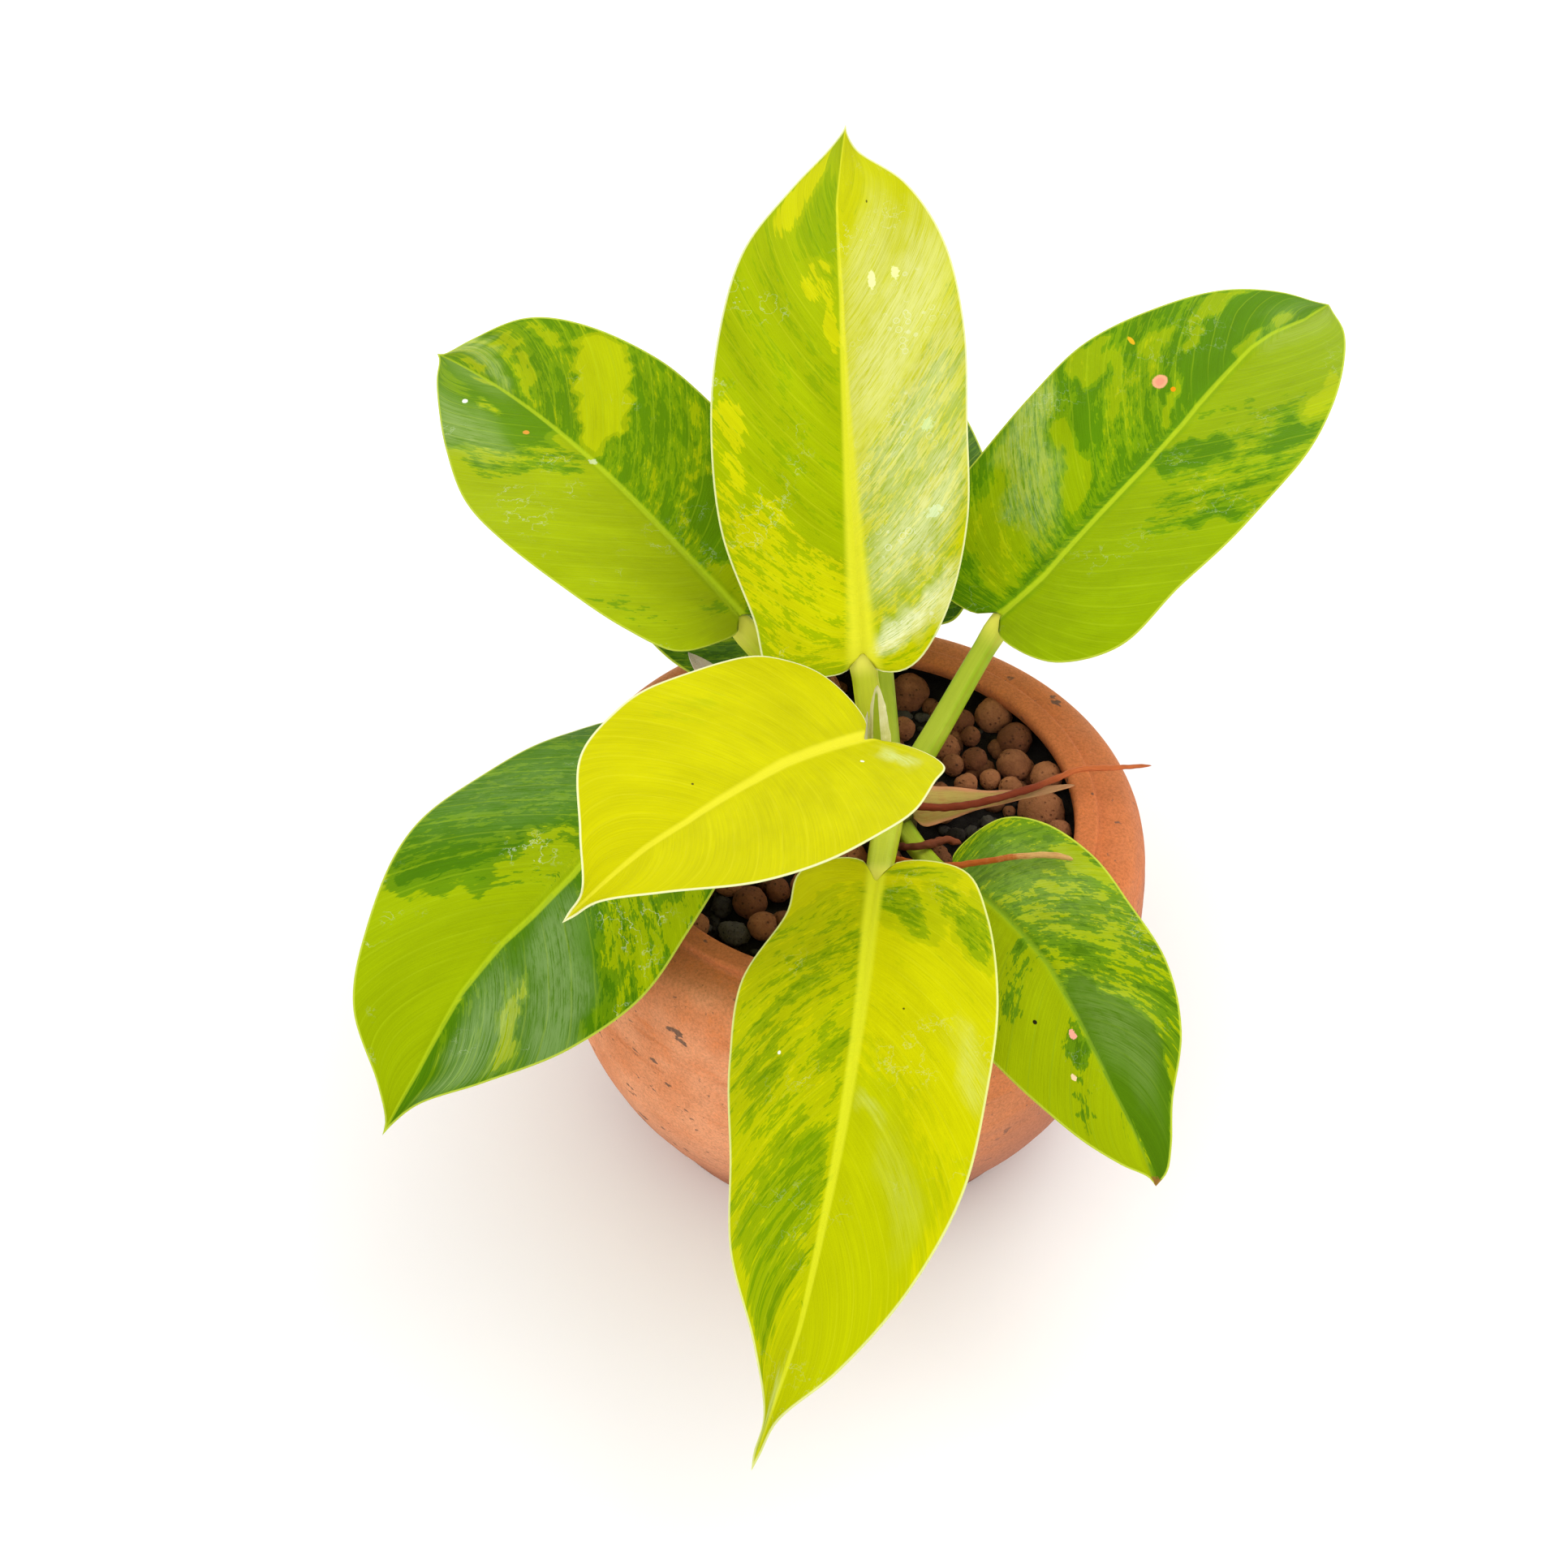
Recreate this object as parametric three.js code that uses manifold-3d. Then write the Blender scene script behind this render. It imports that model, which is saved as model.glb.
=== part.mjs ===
// A variegated philodendron in a round-bellied terracotta pot.
// Millimetres, +Z up, origin at the centre of the pot's flat underside, the front of the plant towards -Y.
import * as THREE from "three";
import { mergeVertices } from "three/addons/utils/BufferGeometryUtils.js";
import Module from "manifold-3d";

const wasm = await Module();
wasm.setup();

// Pot
const POT_HEIGHT = 152;
const BELLY_RADIUS = 120;
const BELLY_LEVEL = 98;
const MOUTH_RADIUS = 89;
const LIP_RADIUS = 98.5;
const LIP_HEIGHT = 3.5;
const LIP_ROUNDING = 2;
const WALL = 9;
const POT_SIDES = 44;
const FLOOR_THICKNESS = 11;
const FOOT_RADIUS = 91;
const FOOT_HEIGHT = 12;
const FOOT_STEP = 2;
const DRAIN_HOLES = 3;
const DRAIN_RADIUS = 6;
const DRAIN_CIRCLE = 34;

// Filling
const SEAT_GAP = 0.4;
const MEDIUM_LEVEL = 137;
const BED_THICKNESS = 2.4;
const PEBBLE_SINK = 0.35;
const PEBBLE_TOP = 149;
const PEBBLE_COUNT = 74;
const PEBBLE_TRIES = 6000;
const PEBBLE_CROWDING = 0.94;
const FILL_RADIUS = 86;
const FILL_SEED = 7;

// Stem
const STEM = { x: 15, y: 0, radius: 12, bottom: 112, top: 162 };

// Blades
const BLADE_THICKNESS = 0.9;
const BLADE_ROWS = 12;
const BLADE_COLUMNS = 3;
const SINUS_HALF_WIDTH = 3;
const SHOULDER = 0.53;
const VEIN_SPREAD = 1.4;
const EDGE_WAVES = 3;
const WIDTH_STATIONS = [0.06, 0.2, 0.36, 0.52, 0.68, 0.82, 0.92, 0.975];
const MIDRIB_STEPS = 40;
const RIB_END = 0.82;
const RIB_RINGS = 6;
const PETIOLE_RINGS = 7;
const ROD_SIDES = 6;

// Each leaf grows from the stem at a height and an angle (degrees round +Z from +X).
// Its blade starts at "base" and runs off at azimuth and elevation, which change by bend and rise to its tip.
// roll and twist turn it about its midrib, fold lifts both halves, and cup bends them down again.
// The half widths are in millimetres at WIDTH_STATIONS, and the lobes reach back behind the base.
// A lobe's widest reach is spread times the half's widest, and its shoulder SHOULDER times it.
const LEAVES = [
  {
    name: "leaf_young",
    stem: { angle: 250, height: 160 },
    base: [2.6, -35.3, 222.4],
    length: 173,
    azimuth: 226,
    bend: 12.5,
    elevation: 25.5,
    rise: -21.5,
    roll: -3,
    twist: -9,
    fold: 15.7,
    cup: 0.14,
    wave: 0.8,
    petiole: 9,
    left: { lobe: 10.5, spread: 0.42, shoulder: 0.43, widths: [41, 50.5, 54, 50.5, 41, 19.5, 4, 1.6] },
    right: { lobe: 9.5, spread: 0.39, widths: [46.5, 50, 51, 48.5, 40.5, 18.5, 3, 1] },
    colour: 0xd8dc00,
  },
  {
    name: "leaf_top",
    stem: { angle: 115, height: 160 },
    base: [2.7, 22, 212.8],
    length: 244,
    azimuth: 97,
    bend: -9.5,
    elevation: 46,
    rise: -41,
    roll: -1,
    twist: -5,
    fold: 13.5,
    cup: 0.12,
    wave: 1,
    petiole: 11,
    left: { lobe: 8, spread: 0.36, widths: [43, 53.5, 55.5, 51.5, 41, 22, 7.5, 1.5] },
    right: { lobe: 8, spread: 0.27, shoulder: 0.32, widths: [34.5, 45, 47.5, 48.5, 42.5, 26.5, 6, 0.8] },
    colour: 0xc6d408,
  },
  {
    name: "leaf_front",
    stem: { angle: 268, height: 156 },
    base: [7.3, -74.3, 188],
    length: 222,
    azimuth: 267,
    bend: -19,
    elevation: -6.5,
    rise: -30,
    roll: 5.5,
    twist: 2.5,
    fold: -0.6,
    cup: 0.25,
    wave: 1.2,
    petiole: 11,
    left: { lobe: 9.5, spread: 0.38, widths: [41.5, 47, 47.5, 45, 35, 19, 3.5, 1.2] },
    right: { lobe: 11, spread: 0.3, shoulder: 0.48, widths: [33, 47.5, 47, 39.5, 31, 12.5, 1.6, 1.2] },
    colour: 0xbccf0c,
  },
  {
    name: "leaf_back_right",
    stem: { angle: 48, height: 156 },
    base: [57.6, 50.2, 209.2],
    length: 232,
    azimuth: 44,
    bend: 9,
    elevation: 28.5,
    rise: -41,
    roll: -2.5,
    twist: 12.5,
    fold: 13,
    cup: 0.17,
    wave: 1,
    petiole: 10,
    left: { lobe: 7, spread: 0.43, widths: [51, 53, 54, 55, 44, 32, 16.5, 4] },
    right: { lobe: 9, spread: 0.3, widths: [57, 58, 58.5, 55.5, 45, 30.5, 17, 5] },
    colour: 0x86b010,
  },
  {
    name: "leaf_back_left",
    stem: { angle: 138, height: 156 },
    base: [-45.6, 50.8, 206.1],
    length: 220,
    azimuth: 129,
    bend: 0.5,
    elevation: 17.5,
    rise: -33.5,
    roll: 1,
    twist: -30,
    fold: 16,
    cup: 0.14,
    wave: 1,
    petiole: 11,
    left: { lobe: 8, spread: 0.3, widths: [51.5, 57.5, 61, 56, 41.5, 25.5, 12, 2.5] },
    right: { lobe: 9, spread: 0.42, widths: [49, 54, 52, 50.5, 44, 31.5, 12, 1.5] },
    colour: 0x7dab12,
  },
  {
    name: "leaf_front_left",
    stem: { angle: 185, height: 152 },
    base: [-68.2, 0.5, 180],
    length: 193,
    azimuth: 233,
    bend: 4,
    elevation: 2,
    rise: -36,
    roll: 14.5,
    twist: -32.5,
    fold: 2.5,
    cup: 0.15,
    wave: 1,
    petiole: 10,
    left: { lobe: 6, spread: 0.42, widths: [52, 55.5, 59, 57.5, 45, 23.5, 6, 1.3] },
    right: { lobe: 6, spread: 0.34, widths: [51, 58.5, 63.5, 60, 48.5, 34, 11, 1.5] },
    colour: 0x6f9f14,
  },
  {
    name: "leaf_front_right",
    stem: { angle: 305, height: 148 },
    sag: 5,
    base: [37.1, -50.2, 165],
    length: 146,
    azimuth: 311,
    bend: -17.5,
    elevation: 6,
    rise: -47,
    roll: 12.5,
    twist: 0,
    fold: 4,
    cup: 0.13,
    wave: 1,
    petiole: 8,
    left: { lobe: 7, spread: 0.4, widths: [40, 44, 41, 39.5, 30.5, 16.5, 10, 5.5] },
    right: { lobe: 8, spread: 0.42, widths: [37.5, 41.5, 42, 37.5, 30.5, 21, 10, 1.5] },
    colour: 0x74a312,
  },
  {
    name: "leaf_back_low",
    stem: { angle: 80, height: 152 },
    base: [12, 85, 180],
    length: 195,
    azimuth: 83,
    bend: 2,
    elevation: 8,
    rise: -30,
    roll: 0,
    twist: 0,
    fold: 8,
    cup: 0.15,
    wave: 0.8,
    petiole: 8,
    left: { lobe: 8, spread: 0.42, widths: [37, 42, 43, 40, 32, 20, 9, 2] },
    right: { lobe: 8, spread: 0.42, widths: [37, 42, 41, 36, 28, 19, 9, 2] },
    colour: 0x4f8a14,
  },
  {
    name: "leaf_left_low",
    stem: { angle: 110, height: 151 },
    base: [-30, 58, 172],
    length: 138,
    azimuth: 124,
    bend: 0,
    elevation: 4,
    rise: -22,
    roll: 0,
    twist: 0,
    fold: 6,
    cup: 0.15,
    wave: 0.8,
    petiole: 8,
    left: { lobe: 8, spread: 0.42, widths: [32, 36, 37, 34, 27, 17, 7, 2] },
    right: { lobe: 8, spread: 0.42, widths: [28, 32, 33, 31, 25, 16, 7, 2] },
    colour: 0x528c16,
  },
];

// The papery and fleshy scales that wrapped young leaves: plain blades with no stalk and no lobes.
const SCALES = [
  {
    name: "dried_cataphyll",
    base: [24, -6.5, 154.5],
    length: 66,
    azimuth: 3,
    bend: 14,
    elevation: 6,
    rise: -4,
    roll: 24,
    twist: -16,
    fold: 14,
    cup: 0.2,
    wave: 0,
    left: { lobe: 0, spread: 0.3, widths: [9.5, 9, 6.5, 4, 2.6, 1.8, 1.3, 0.9] },
    right: { lobe: 0, spread: 0.3, widths: [7.5, 6, 3.5, 2.4, 1.8, 1.4, 1.1, 0.8] },
    colour: 0xa8935a,
  },
  {
    name: "pink_cataphyll",
    base: [3.5, 5.5, 155],
    length: 90,
    azimuth: 156,
    bend: -20,
    elevation: 16,
    rise: 6,
    roll: 0,
    twist: 0,
    fold: 10,
    cup: 0.25,
    wave: 0,
    left: { lobe: 0, spread: 0.3, widths: [4, 5, 6, 6.5, 6.5, 5.5, 3.5, 1.6] },
    right: { lobe: 0, spread: 0.3, widths: [4, 5, 6, 6.5, 6.5, 5.5, 3.5, 1.6] },
    colour: 0xd9c3b0,
  },
];

// Round pieces that follow a line: [x, y, z, diameter].
const SHOOTS = [
  {
    name: "new_leaf_spear",
    path: [[13, -1, 152, 8], [11.5, -0.5, 170, 9], [9.7, 0.4, 190, 9], [8.6, 1.5, 205, 6], [8, 2, 215, 1.4]],
    wrapped: true,
    colour: 0x9fbf3a,
  },
  {
    name: "spear_sheath",
    path: [[9.2, -6.4, 154, 4], [5.6, -4.4, 170, 3.8], [3.8, -2.4, 186, 3.4], [4.6, 0, 203, 0.9]],
    wrapped: true,
    colour: 0xe8e2b4,
  },
  {
    name: "aerial_root_right",
    path: [
      [20, -7, 160, 3.4],
      [32, -9.5, 160, 3.2],
      [48, -8, 161, 3],
      [70, 0, 161.5, 3],
      [81, 5, 162.5, 2.6],
      [90, 8.5, 164, 2.4],
      [104.5, 11, 163, 2.2],
      [120, 15.5, 160, 1.4],
    ],
    colour: 0xa84b35,
  },
  {
    name: "aerial_root_short",
    path: [
      [15.5, -10, 149, 3.4],
      [16.5, -22, 151.5, 3.2],
      [27, -27.5, 157, 3],
      [37, -20, 152.5, 3.4],
      [43, -19.5, 150, 2],
    ],
    colour: 0x7c3f2c,
  },
  {
    name: "aerial_root_front",
    path: [
      [12, -11.5, 147, 3],
      [11.5, -27, 153.5, 3],
      [20, -45, 166.5, 2.8],
      [36, -52.4, 172.5, 2.6],
      [48, -52, 174.5, 2.4],
      [63, -50.2, 176, 2.4],
      [76, -51, 177.5, 2.4],
      [82.5, -53, 177.5, 1.6],
    ],
    colour: 0xc4683a,
  },
];

// Pebbles and dark stones that show between the leaves: [x, y, radius].
const SEEN_PEBBLES = [
  [25, 77, 9], [60, 63, 8], [46, 58, 6], [50, 50, 4.5], [39, 42, 6.5], [42, 33, 5], [51, 36, 5.5],
  [68, 48, 7.5], [67, 33, 7.5], [47, 22, 5], [57, 25, 4.5], [65, 20, 5], [80, 26, 7.3], [77, 9, 10],
  [83, -5, 5.5], [22, 54, 5.5], [36, 18, 4], [48, 13, 4.5], [-40, -45, 7], [-35, -57, 6], [-29, -38, 5],
];
const DARK_STONES = [
  [-51, -45, 5], [-46, -59, 6.5], [52, -6, 4.5], [60, -12, 4.5],
  [64, 2, 4.5], [55, 3, 3.5], [42, -4, 4], [47, -15, 4],
];

// Places kept free of pebbles for the stem and for the stalk that leaves it lowest.
const STALK_ROOM = [[STEM.x, STEM.y, STEM.radius + 2], [24, -14, 5], [29, -25, 5]];

const TERRACOTTA = 0xc47a52;
const DARK_MEDIUM = 0x2c2724;
const FIRED_CLAY = 0x9a6650;
const STEM_GREEN = 0x9ab02a;

function seededRandom(seed) {
  let state = seed;
  return () => {
    state = (state * 1664525 + 1013904223) % 4294967296;
    return state / 4294967296;
  };
}

function radians(degrees) {
  return (degrees * Math.PI) / 180;
}

function solidOf(geometry) {
  const bare = geometry.clone();
  bare.deleteAttribute("normal");
  bare.deleteAttribute("uv");
  const merged = mergeVertices(bare, 1e-4);
  return new wasm.Manifold(
    new wasm.Mesh({
      numProp: 3,
      vertProperties: merged.attributes.position.array,
      triVerts: new Uint32Array(merged.index.array),
    }),
  );
}

function meshOf(name, solid, colour, roughness) {
  const result = solid.getMesh();
  const geometry = new THREE.BufferGeometry();
  geometry.setAttribute("position", new THREE.BufferAttribute(new Float32Array(result.vertProperties), 3));
  geometry.setIndex(new THREE.BufferAttribute(new Uint32Array(result.triVerts), 1));
  geometry.computeVertexNormals();
  const finish = { color: colour, roughness, metalness: 0, flatShading: true };
  const mesh = new THREE.Mesh(geometry, new THREE.MeshStandardMaterial(finish));
  mesh.name = name;
  return mesh;
}

function indexedGeometry(positions, triangles) {
  const geometry = new THREE.BufferGeometry();
  geometry.setAttribute("position", new THREE.Float32BufferAttribute(positions, 3));
  geometry.setIndex(triangles);
  return geometry;
}

// A lathe solid about +Z from [radius, height] pairs that run anticlockwise in that plane.
function turned(profile, segments) {
  const points = profile.map(([radius, height]) => new THREE.Vector2(radius, height));
  return solidOf(new THREE.LatheGeometry(points, segments).rotateX(Math.PI / 2));
}

function upright(radius, bottom, top, x, y, segments) {
  const geometry = new THREE.CylinderGeometry(radius, radius, top - bottom, segments);
  return solidOf(geometry.rotateX(Math.PI / 2).translate(x, y, (bottom + top) / 2));
}

function bezier(start, controlA, controlB, end, steps) {
  const vectors = [start, controlA, controlB, end].map(([x, y]) => new THREE.Vector2(x, y));
  return new THREE.CubicBezierCurve(...vectors).getPoints(steps).map((p) => [p.x, p.y]);
}

function outerWall() {
  const foot = FOOT_RADIUS + 4 + FOOT_STEP;
  const neck = POT_HEIGHT - LIP_HEIGHT;
  return [
    ...bezier(
      [foot, FOOT_HEIGHT + FOOT_STEP],
      [foot + 12, FOOT_HEIGHT + 20],
      [BELLY_RADIUS + 1, BELLY_LEVEL - 42],
      [BELLY_RADIUS, BELLY_LEVEL],
      6,
    ),
    ...bezier(
      [BELLY_RADIUS, BELLY_LEVEL],
      [BELLY_RADIUS, neck - 8],
      [BELLY_RADIUS - 1, neck + 0.5],
      [LIP_RADIUS, neck],
      7,
    ).slice(1),
  ];
}

// The inner wall from the floor up to just under the lip.
function innerWall(gap) {
  const radius = BELLY_RADIUS - WALL - gap;
  return [
    ...bezier(
      [FOOT_RADIUS - 11 - gap, FLOOR_THICKNESS + gap],
      [FOOT_RADIUS + 6 - gap, FLOOR_THICKNESS + 12],
      [radius, BELLY_LEVEL - 36],
      [radius, BELLY_LEVEL],
      4,
    ),
    ...bezier(
      [radius, BELLY_LEVEL],
      [radius, BELLY_LEVEL + 38],
      [radius - 3, POT_HEIGHT - 9],
      [MOUTH_RADIUS - gap, POT_HEIGHT - 5],
      5,
    ).slice(1),
  ];
}

function potSolid() {
  const profile = [
    [0, 0],
    [FOOT_RADIUS - 1.5, 0],
    [FOOT_RADIUS, 1.5],
    [FOOT_RADIUS + 4, FOOT_HEIGHT],
    ...outerWall(),
    [LIP_RADIUS, POT_HEIGHT - LIP_ROUNDING],
    [LIP_RADIUS - LIP_ROUNDING, POT_HEIGHT],
    [MOUTH_RADIUS + LIP_ROUNDING, POT_HEIGHT],
    [MOUTH_RADIUS, POT_HEIGHT - LIP_ROUNDING],
    ...innerWall(0).reverse(),
    [0, FLOOR_THICKNESS],
  ];
  let pot = turned(profile, POT_SIDES);
  for (let i = 0; i < DRAIN_HOLES; i++) {
    const angle = (2 * Math.PI * (i + 0.5)) / DRAIN_HOLES;
    const x = DRAIN_CIRCLE * Math.cos(angle);
    const y = DRAIN_CIRCLE * Math.sin(angle);
    pot = pot.subtract(upright(DRAIN_RADIUS, -1, FLOOR_THICKNESS + 1, x, y, 16));
  }
  return pot;
}

function stoneSolid([x, y, radius], random, growth) {
  const geometry = new THREE.DodecahedronGeometry(radius + growth);
  geometry.scale(1, 0.8, 0.75);
  geometry.rotateZ(random() * Math.PI);
  geometry.translate(x, y, MEDIUM_LEVEL + radius * 0.45);
  return solidOf(geometry);
}

function stonesSolid(growth) {
  const random = seededRandom(FILL_SEED);
  return DARK_STONES.map((stone) => stoneSolid(stone, random, growth)).reduce((a, b) => a.add(b));
}

function stemHole() {
  return upright(STEM.radius + SEAT_GAP, STEM.bottom - SEAT_GAP, POT_HEIGHT, STEM.x, STEM.y, 24);
}

// The room inside the pot, a seat's gap in from its wall.
function roomInside() {
  const profile = [
    [0, FLOOR_THICKNESS + SEAT_GAP],
    ...innerWall(SEAT_GAP),
    [MOUTH_RADIUS - SEAT_GAP, POT_HEIGHT],
    [0, POT_HEIGHT],
  ];
  return turned(profile, POT_SIDES);
}

function mediumSolid() {
  const above = upright(BELLY_RADIUS, MEDIUM_LEVEL, POT_HEIGHT + 1, 0, 0, 8);
  return roomInside().subtract(above).add(stonesSolid(0)).subtract(stemHole());
}

// Pebbles that show come first, then a seeded rule fills the rest of the mouth round them.
function pebblePlaces() {
  const random = seededRandom(FILL_SEED);
  const places = [...SEEN_PEBBLES];
  const taken = [...SEEN_PEBBLES, ...DARK_STONES, ...STALK_ROOM];
  for (let tries = 0; tries < PEBBLE_TRIES && places.length < PEBBLE_COUNT; tries++) {
    const reach = FILL_RADIUS * Math.sqrt(random());
    const angle = 2 * Math.PI * random();
    const radius = 5.5 + 3 * random();
    const x = reach * Math.cos(angle);
    const y = reach * Math.sin(angle);
    const apart = ([tx, ty, tr]) => Math.hypot(x - tx, y - ty) > PEBBLE_CROWDING * (tr + radius);
    const free = taken.every(apart);
    if (free && reach + radius < FILL_RADIUS + 4) {
      places.push([x, y, radius]);
      taken.push([x, y, radius]);
    }
  }
  return places;
}

function pebblesSolid() {
  const bottom = MEDIUM_LEVEL + SEAT_GAP;
  const top = bottom + BED_THICKNESS;
  const random = seededRandom(FILL_SEED + 1);
  const balls = pebblePlaces().map(([x, y, radius]) => {
    const geometry = new THREE.OctahedronGeometry(radius, 1);
    geometry.rotateZ(random() * Math.PI);
    geometry.translate(x, y, Math.min(top + radius * PEBBLE_SINK, PEBBLE_TOP - radius));
    return solidOf(geometry);
  });
  const below = upright(FILL_RADIUS + 20, bottom - 20, bottom, 0, 0, 8);
  return wasm.Manifold.union([upright(FILL_RADIUS, bottom, top, 0, 0, 36), ...balls])
    .subtract(below)
    .intersect(roomInside())
    .subtract(stonesSolid(SEAT_GAP))
    .subtract(stemHole());
}

// The crown: a short thick stem ringed by old leaf scars, its foot in a plain hole in the medium.
function stemSolid(growth) {
  const r = STEM.radius + growth;
  const profile = [[0, STEM.bottom - growth], [r - 2, STEM.bottom - growth], [r - 0.6, STEM.bottom + 6]];
  for (let ring = 0; ring < 3; ring++) {
    const level = 139 + 6 * ring;
    profile.push([r - 0.8, level], [r, level + 1.5], [r - 0.8, level + 3]);
  }
  profile.push([r - 1.5, STEM.top - 4], [r - 5, STEM.top + growth], [0, STEM.top + 1 + growth]);
  return turned(profile, 20).translate([STEM.x, STEM.y, 0]);
}

// The midrib's line and its three directions (along, side, up), at even steps from base to tip.
function midribFrames(leaf) {
  const steps = MIDRIB_STEPS;
  const frames = [];
  const at = new THREE.Vector3(...leaf.base);
  let last = null;
  for (let i = 0; i <= steps; i++) {
    const t = i / steps;
    const azimuth = radians(leaf.azimuth + leaf.bend * t);
    const elevation = radians(leaf.elevation + leaf.rise * t);
    const roll = radians(leaf.roll + leaf.twist * t);
    const level = new THREE.Vector3(Math.cos(azimuth), Math.sin(azimuth), 0);
    const along = level.multiplyScalar(Math.cos(elevation)).setZ(Math.sin(elevation));
    const flat = new THREE.Vector3(-Math.sin(azimuth), Math.cos(azimuth), 0);
    const over = along.clone().cross(flat);
    const side = flat.clone().multiplyScalar(Math.cos(roll)).addScaledVector(over, Math.sin(roll));
    const up = over.clone().multiplyScalar(Math.cos(roll)).addScaledVector(flat, -Math.sin(roll));
    if (last) at.add(last.clone().add(along).multiplyScalar(leaf.length / steps / 2));
    frames.push({ at: at.clone(), along, side, up });
    last = along;
  }
  return frames;
}

function frameAt(frames, fraction) {
  const place = Math.min(Math.max(fraction, 0), 1) * (frames.length - 1);
  const index = Math.min(Math.floor(place), frames.length - 2);
  const part = place - index;
  const mix = (key) => frames[index][key].clone().lerp(frames[index + 1][key], part);
  return { at: mix("at"), along: mix("along"), side: mix("side"), up: mix("up") };
}

// A point of the blade's middle surface, x along the midrib and y to its left.
function bladePoint(leaf, frames, x, y) {
  const { at, side, up } = frameAt(frames, x / leaf.length);
  const widest = Math.max(...leaf.left.widths, ...leaf.right.widths);
  const fold = radians(leaf.fold);
  const reach = Math.abs(y);
  const phase = (2 * Math.PI * EDGE_WAVES * x) / leaf.length + Math.sign(y);
  const ripple = leaf.wave * Math.sin(phase) * (reach / widest) ** 2;
  const lift = Math.sin(fold) * reach - (leaf.cup * reach * reach) / (2 * widest) + ripple;
  at.addScaledVector(frames[0].along, Math.min(x, 0));
  at.addScaledVector(side, Math.cos(fold) * y);
  at.addScaledVector(up, lift);
  return { at, up };
}

// The edge of one half from the notch at the stalk round the lobe to the tip, as [x, y] with y positive.
function halfOutline(leaf, half) {
  const widest = Math.max(...half.widths);
  const lobeWidth = half.spread * widest;
  const points = [[0, Math.min(SINUS_HALF_WIDTH, half.widths[0] * 0.4)]];
  if (half.lobe > 0) {
    points.push(
      [-0.75 * half.lobe, Math.max(0.33 * lobeWidth, SINUS_HALF_WIDTH + 1)],
      [-half.lobe, lobeWidth],
      [-0.55 * half.lobe, 0.45 * lobeWidth + (half.shoulder || SHOULDER) * widest],
    );
  }
  WIDTH_STATIONS.forEach((station, i) => points.push([station * leaf.length, half.widths[i]]));
  points.push([leaf.length, 0]);
  return new THREE.CatmullRomCurve3(points.map(([x, y]) => new THREE.Vector3(x, y, 0)));
}

function bladeGeometry(leaf, frames) {
  const edges = { left: halfOutline(leaf, leaf.left), right: halfOutline(leaf, leaf.right) };
  const columns = 2 * BLADE_COLUMNS + 1;
  const positions = [];
  const addPoint = (x, y, layer) => {
    const { at, up } = bladePoint(leaf, frames, x, y);
    at.addScaledVector(up, layer * 0.5 * BLADE_THICKNESS);
    positions.push(at.x, at.y, at.z);
  };
  for (const layer of [1, -1]) {
    for (let row = 0; row < BLADE_ROWS; row++) {
      const along = row / BLADE_ROWS;
      const ribX = leaf.length * along ** VEIN_SPREAD;
      for (let column = -BLADE_COLUMNS; column <= BLADE_COLUMNS; column++) {
        const edge = edges[column < 0 ? "right" : "left"].getPointAt(along);
        const out = Math.abs(column) / BLADE_COLUMNS;
        addPoint(ribX + (edge.x - ribX) * out, Math.sign(column) * Math.max(edge.y, 0) * out, layer);
      }
    }
    addPoint(leaf.length, 0, layer);
  }
  const layerSize = BLADE_ROWS * columns + 1;
  const vertex = (row, column) => (row === BLADE_ROWS ? layerSize - 1 : row * columns + column);
  const triangles = [];
  const addFace = (a, b, c) => {
    if (a === b || b === c || a === c) return;
    triangles.push(a, b, c, a + layerSize, c + layerSize, b + layerSize);
  };
  const addWall = (a, b) => triangles.push(a, b, b + layerSize, a, b + layerSize, a + layerSize);
  for (let row = 0; row < BLADE_ROWS; row++) {
    for (let column = 0; column < columns - 1; column++) {
      const a = vertex(row, column);
      const b = vertex(row + 1, column);
      const c = vertex(row + 1, column + 1);
      const d = vertex(row, column + 1);
      addFace(a, b, c);
      addFace(a, c, d);
      if (row === 0) addWall(a, d);
    }
    addWall(vertex(row, columns - 1), vertex(row + 1, columns - 1));
    addWall(vertex(row + 1, 0), vertex(row, 0));
  }
  return indexedGeometry(positions, triangles);
}

// A tapered rod through rings of { at, side, up, width, height }, closed at both ends.
function rodGeometry(rings, sides) {
  const positions = [];
  const triangles = [];
  rings.forEach(({ at, side, up, width, height }) => {
    for (let k = 0; k < sides; k++) {
      const angle = (2 * Math.PI * (k + 0.5)) / sides;
      const point = at
        .clone()
        .addScaledVector(side, (width / 2) * Math.cos(angle))
        .addScaledVector(up, (height / 2) * Math.sin(angle));
      positions.push(point.x, point.y, point.z);
    }
  });
  const last = (rings.length - 1) * sides;
  for (let ring = 0; ring < rings.length - 1; ring++) {
    for (let k = 0; k < sides; k++) {
      const a = ring * sides + k;
      const b = ring * sides + ((k + 1) % sides);
      triangles.push(a, b, b + sides, a, b + sides, a + sides);
    }
  }
  for (let k = 1; k < sides - 1; k++) {
    triangles.push(0, k + 1, k, last, last + k, last + k + 1);
  }
  return indexedGeometry(positions, triangles);
}

// Directions across a line, with "side" kept as near as it can be to the one given.
function crossDirections(along, wantedSide) {
  const side = wantedSide.clone().addScaledVector(along, -wantedSide.dot(along)).normalize();
  return { side, up: along.clone().cross(side) };
}

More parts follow.
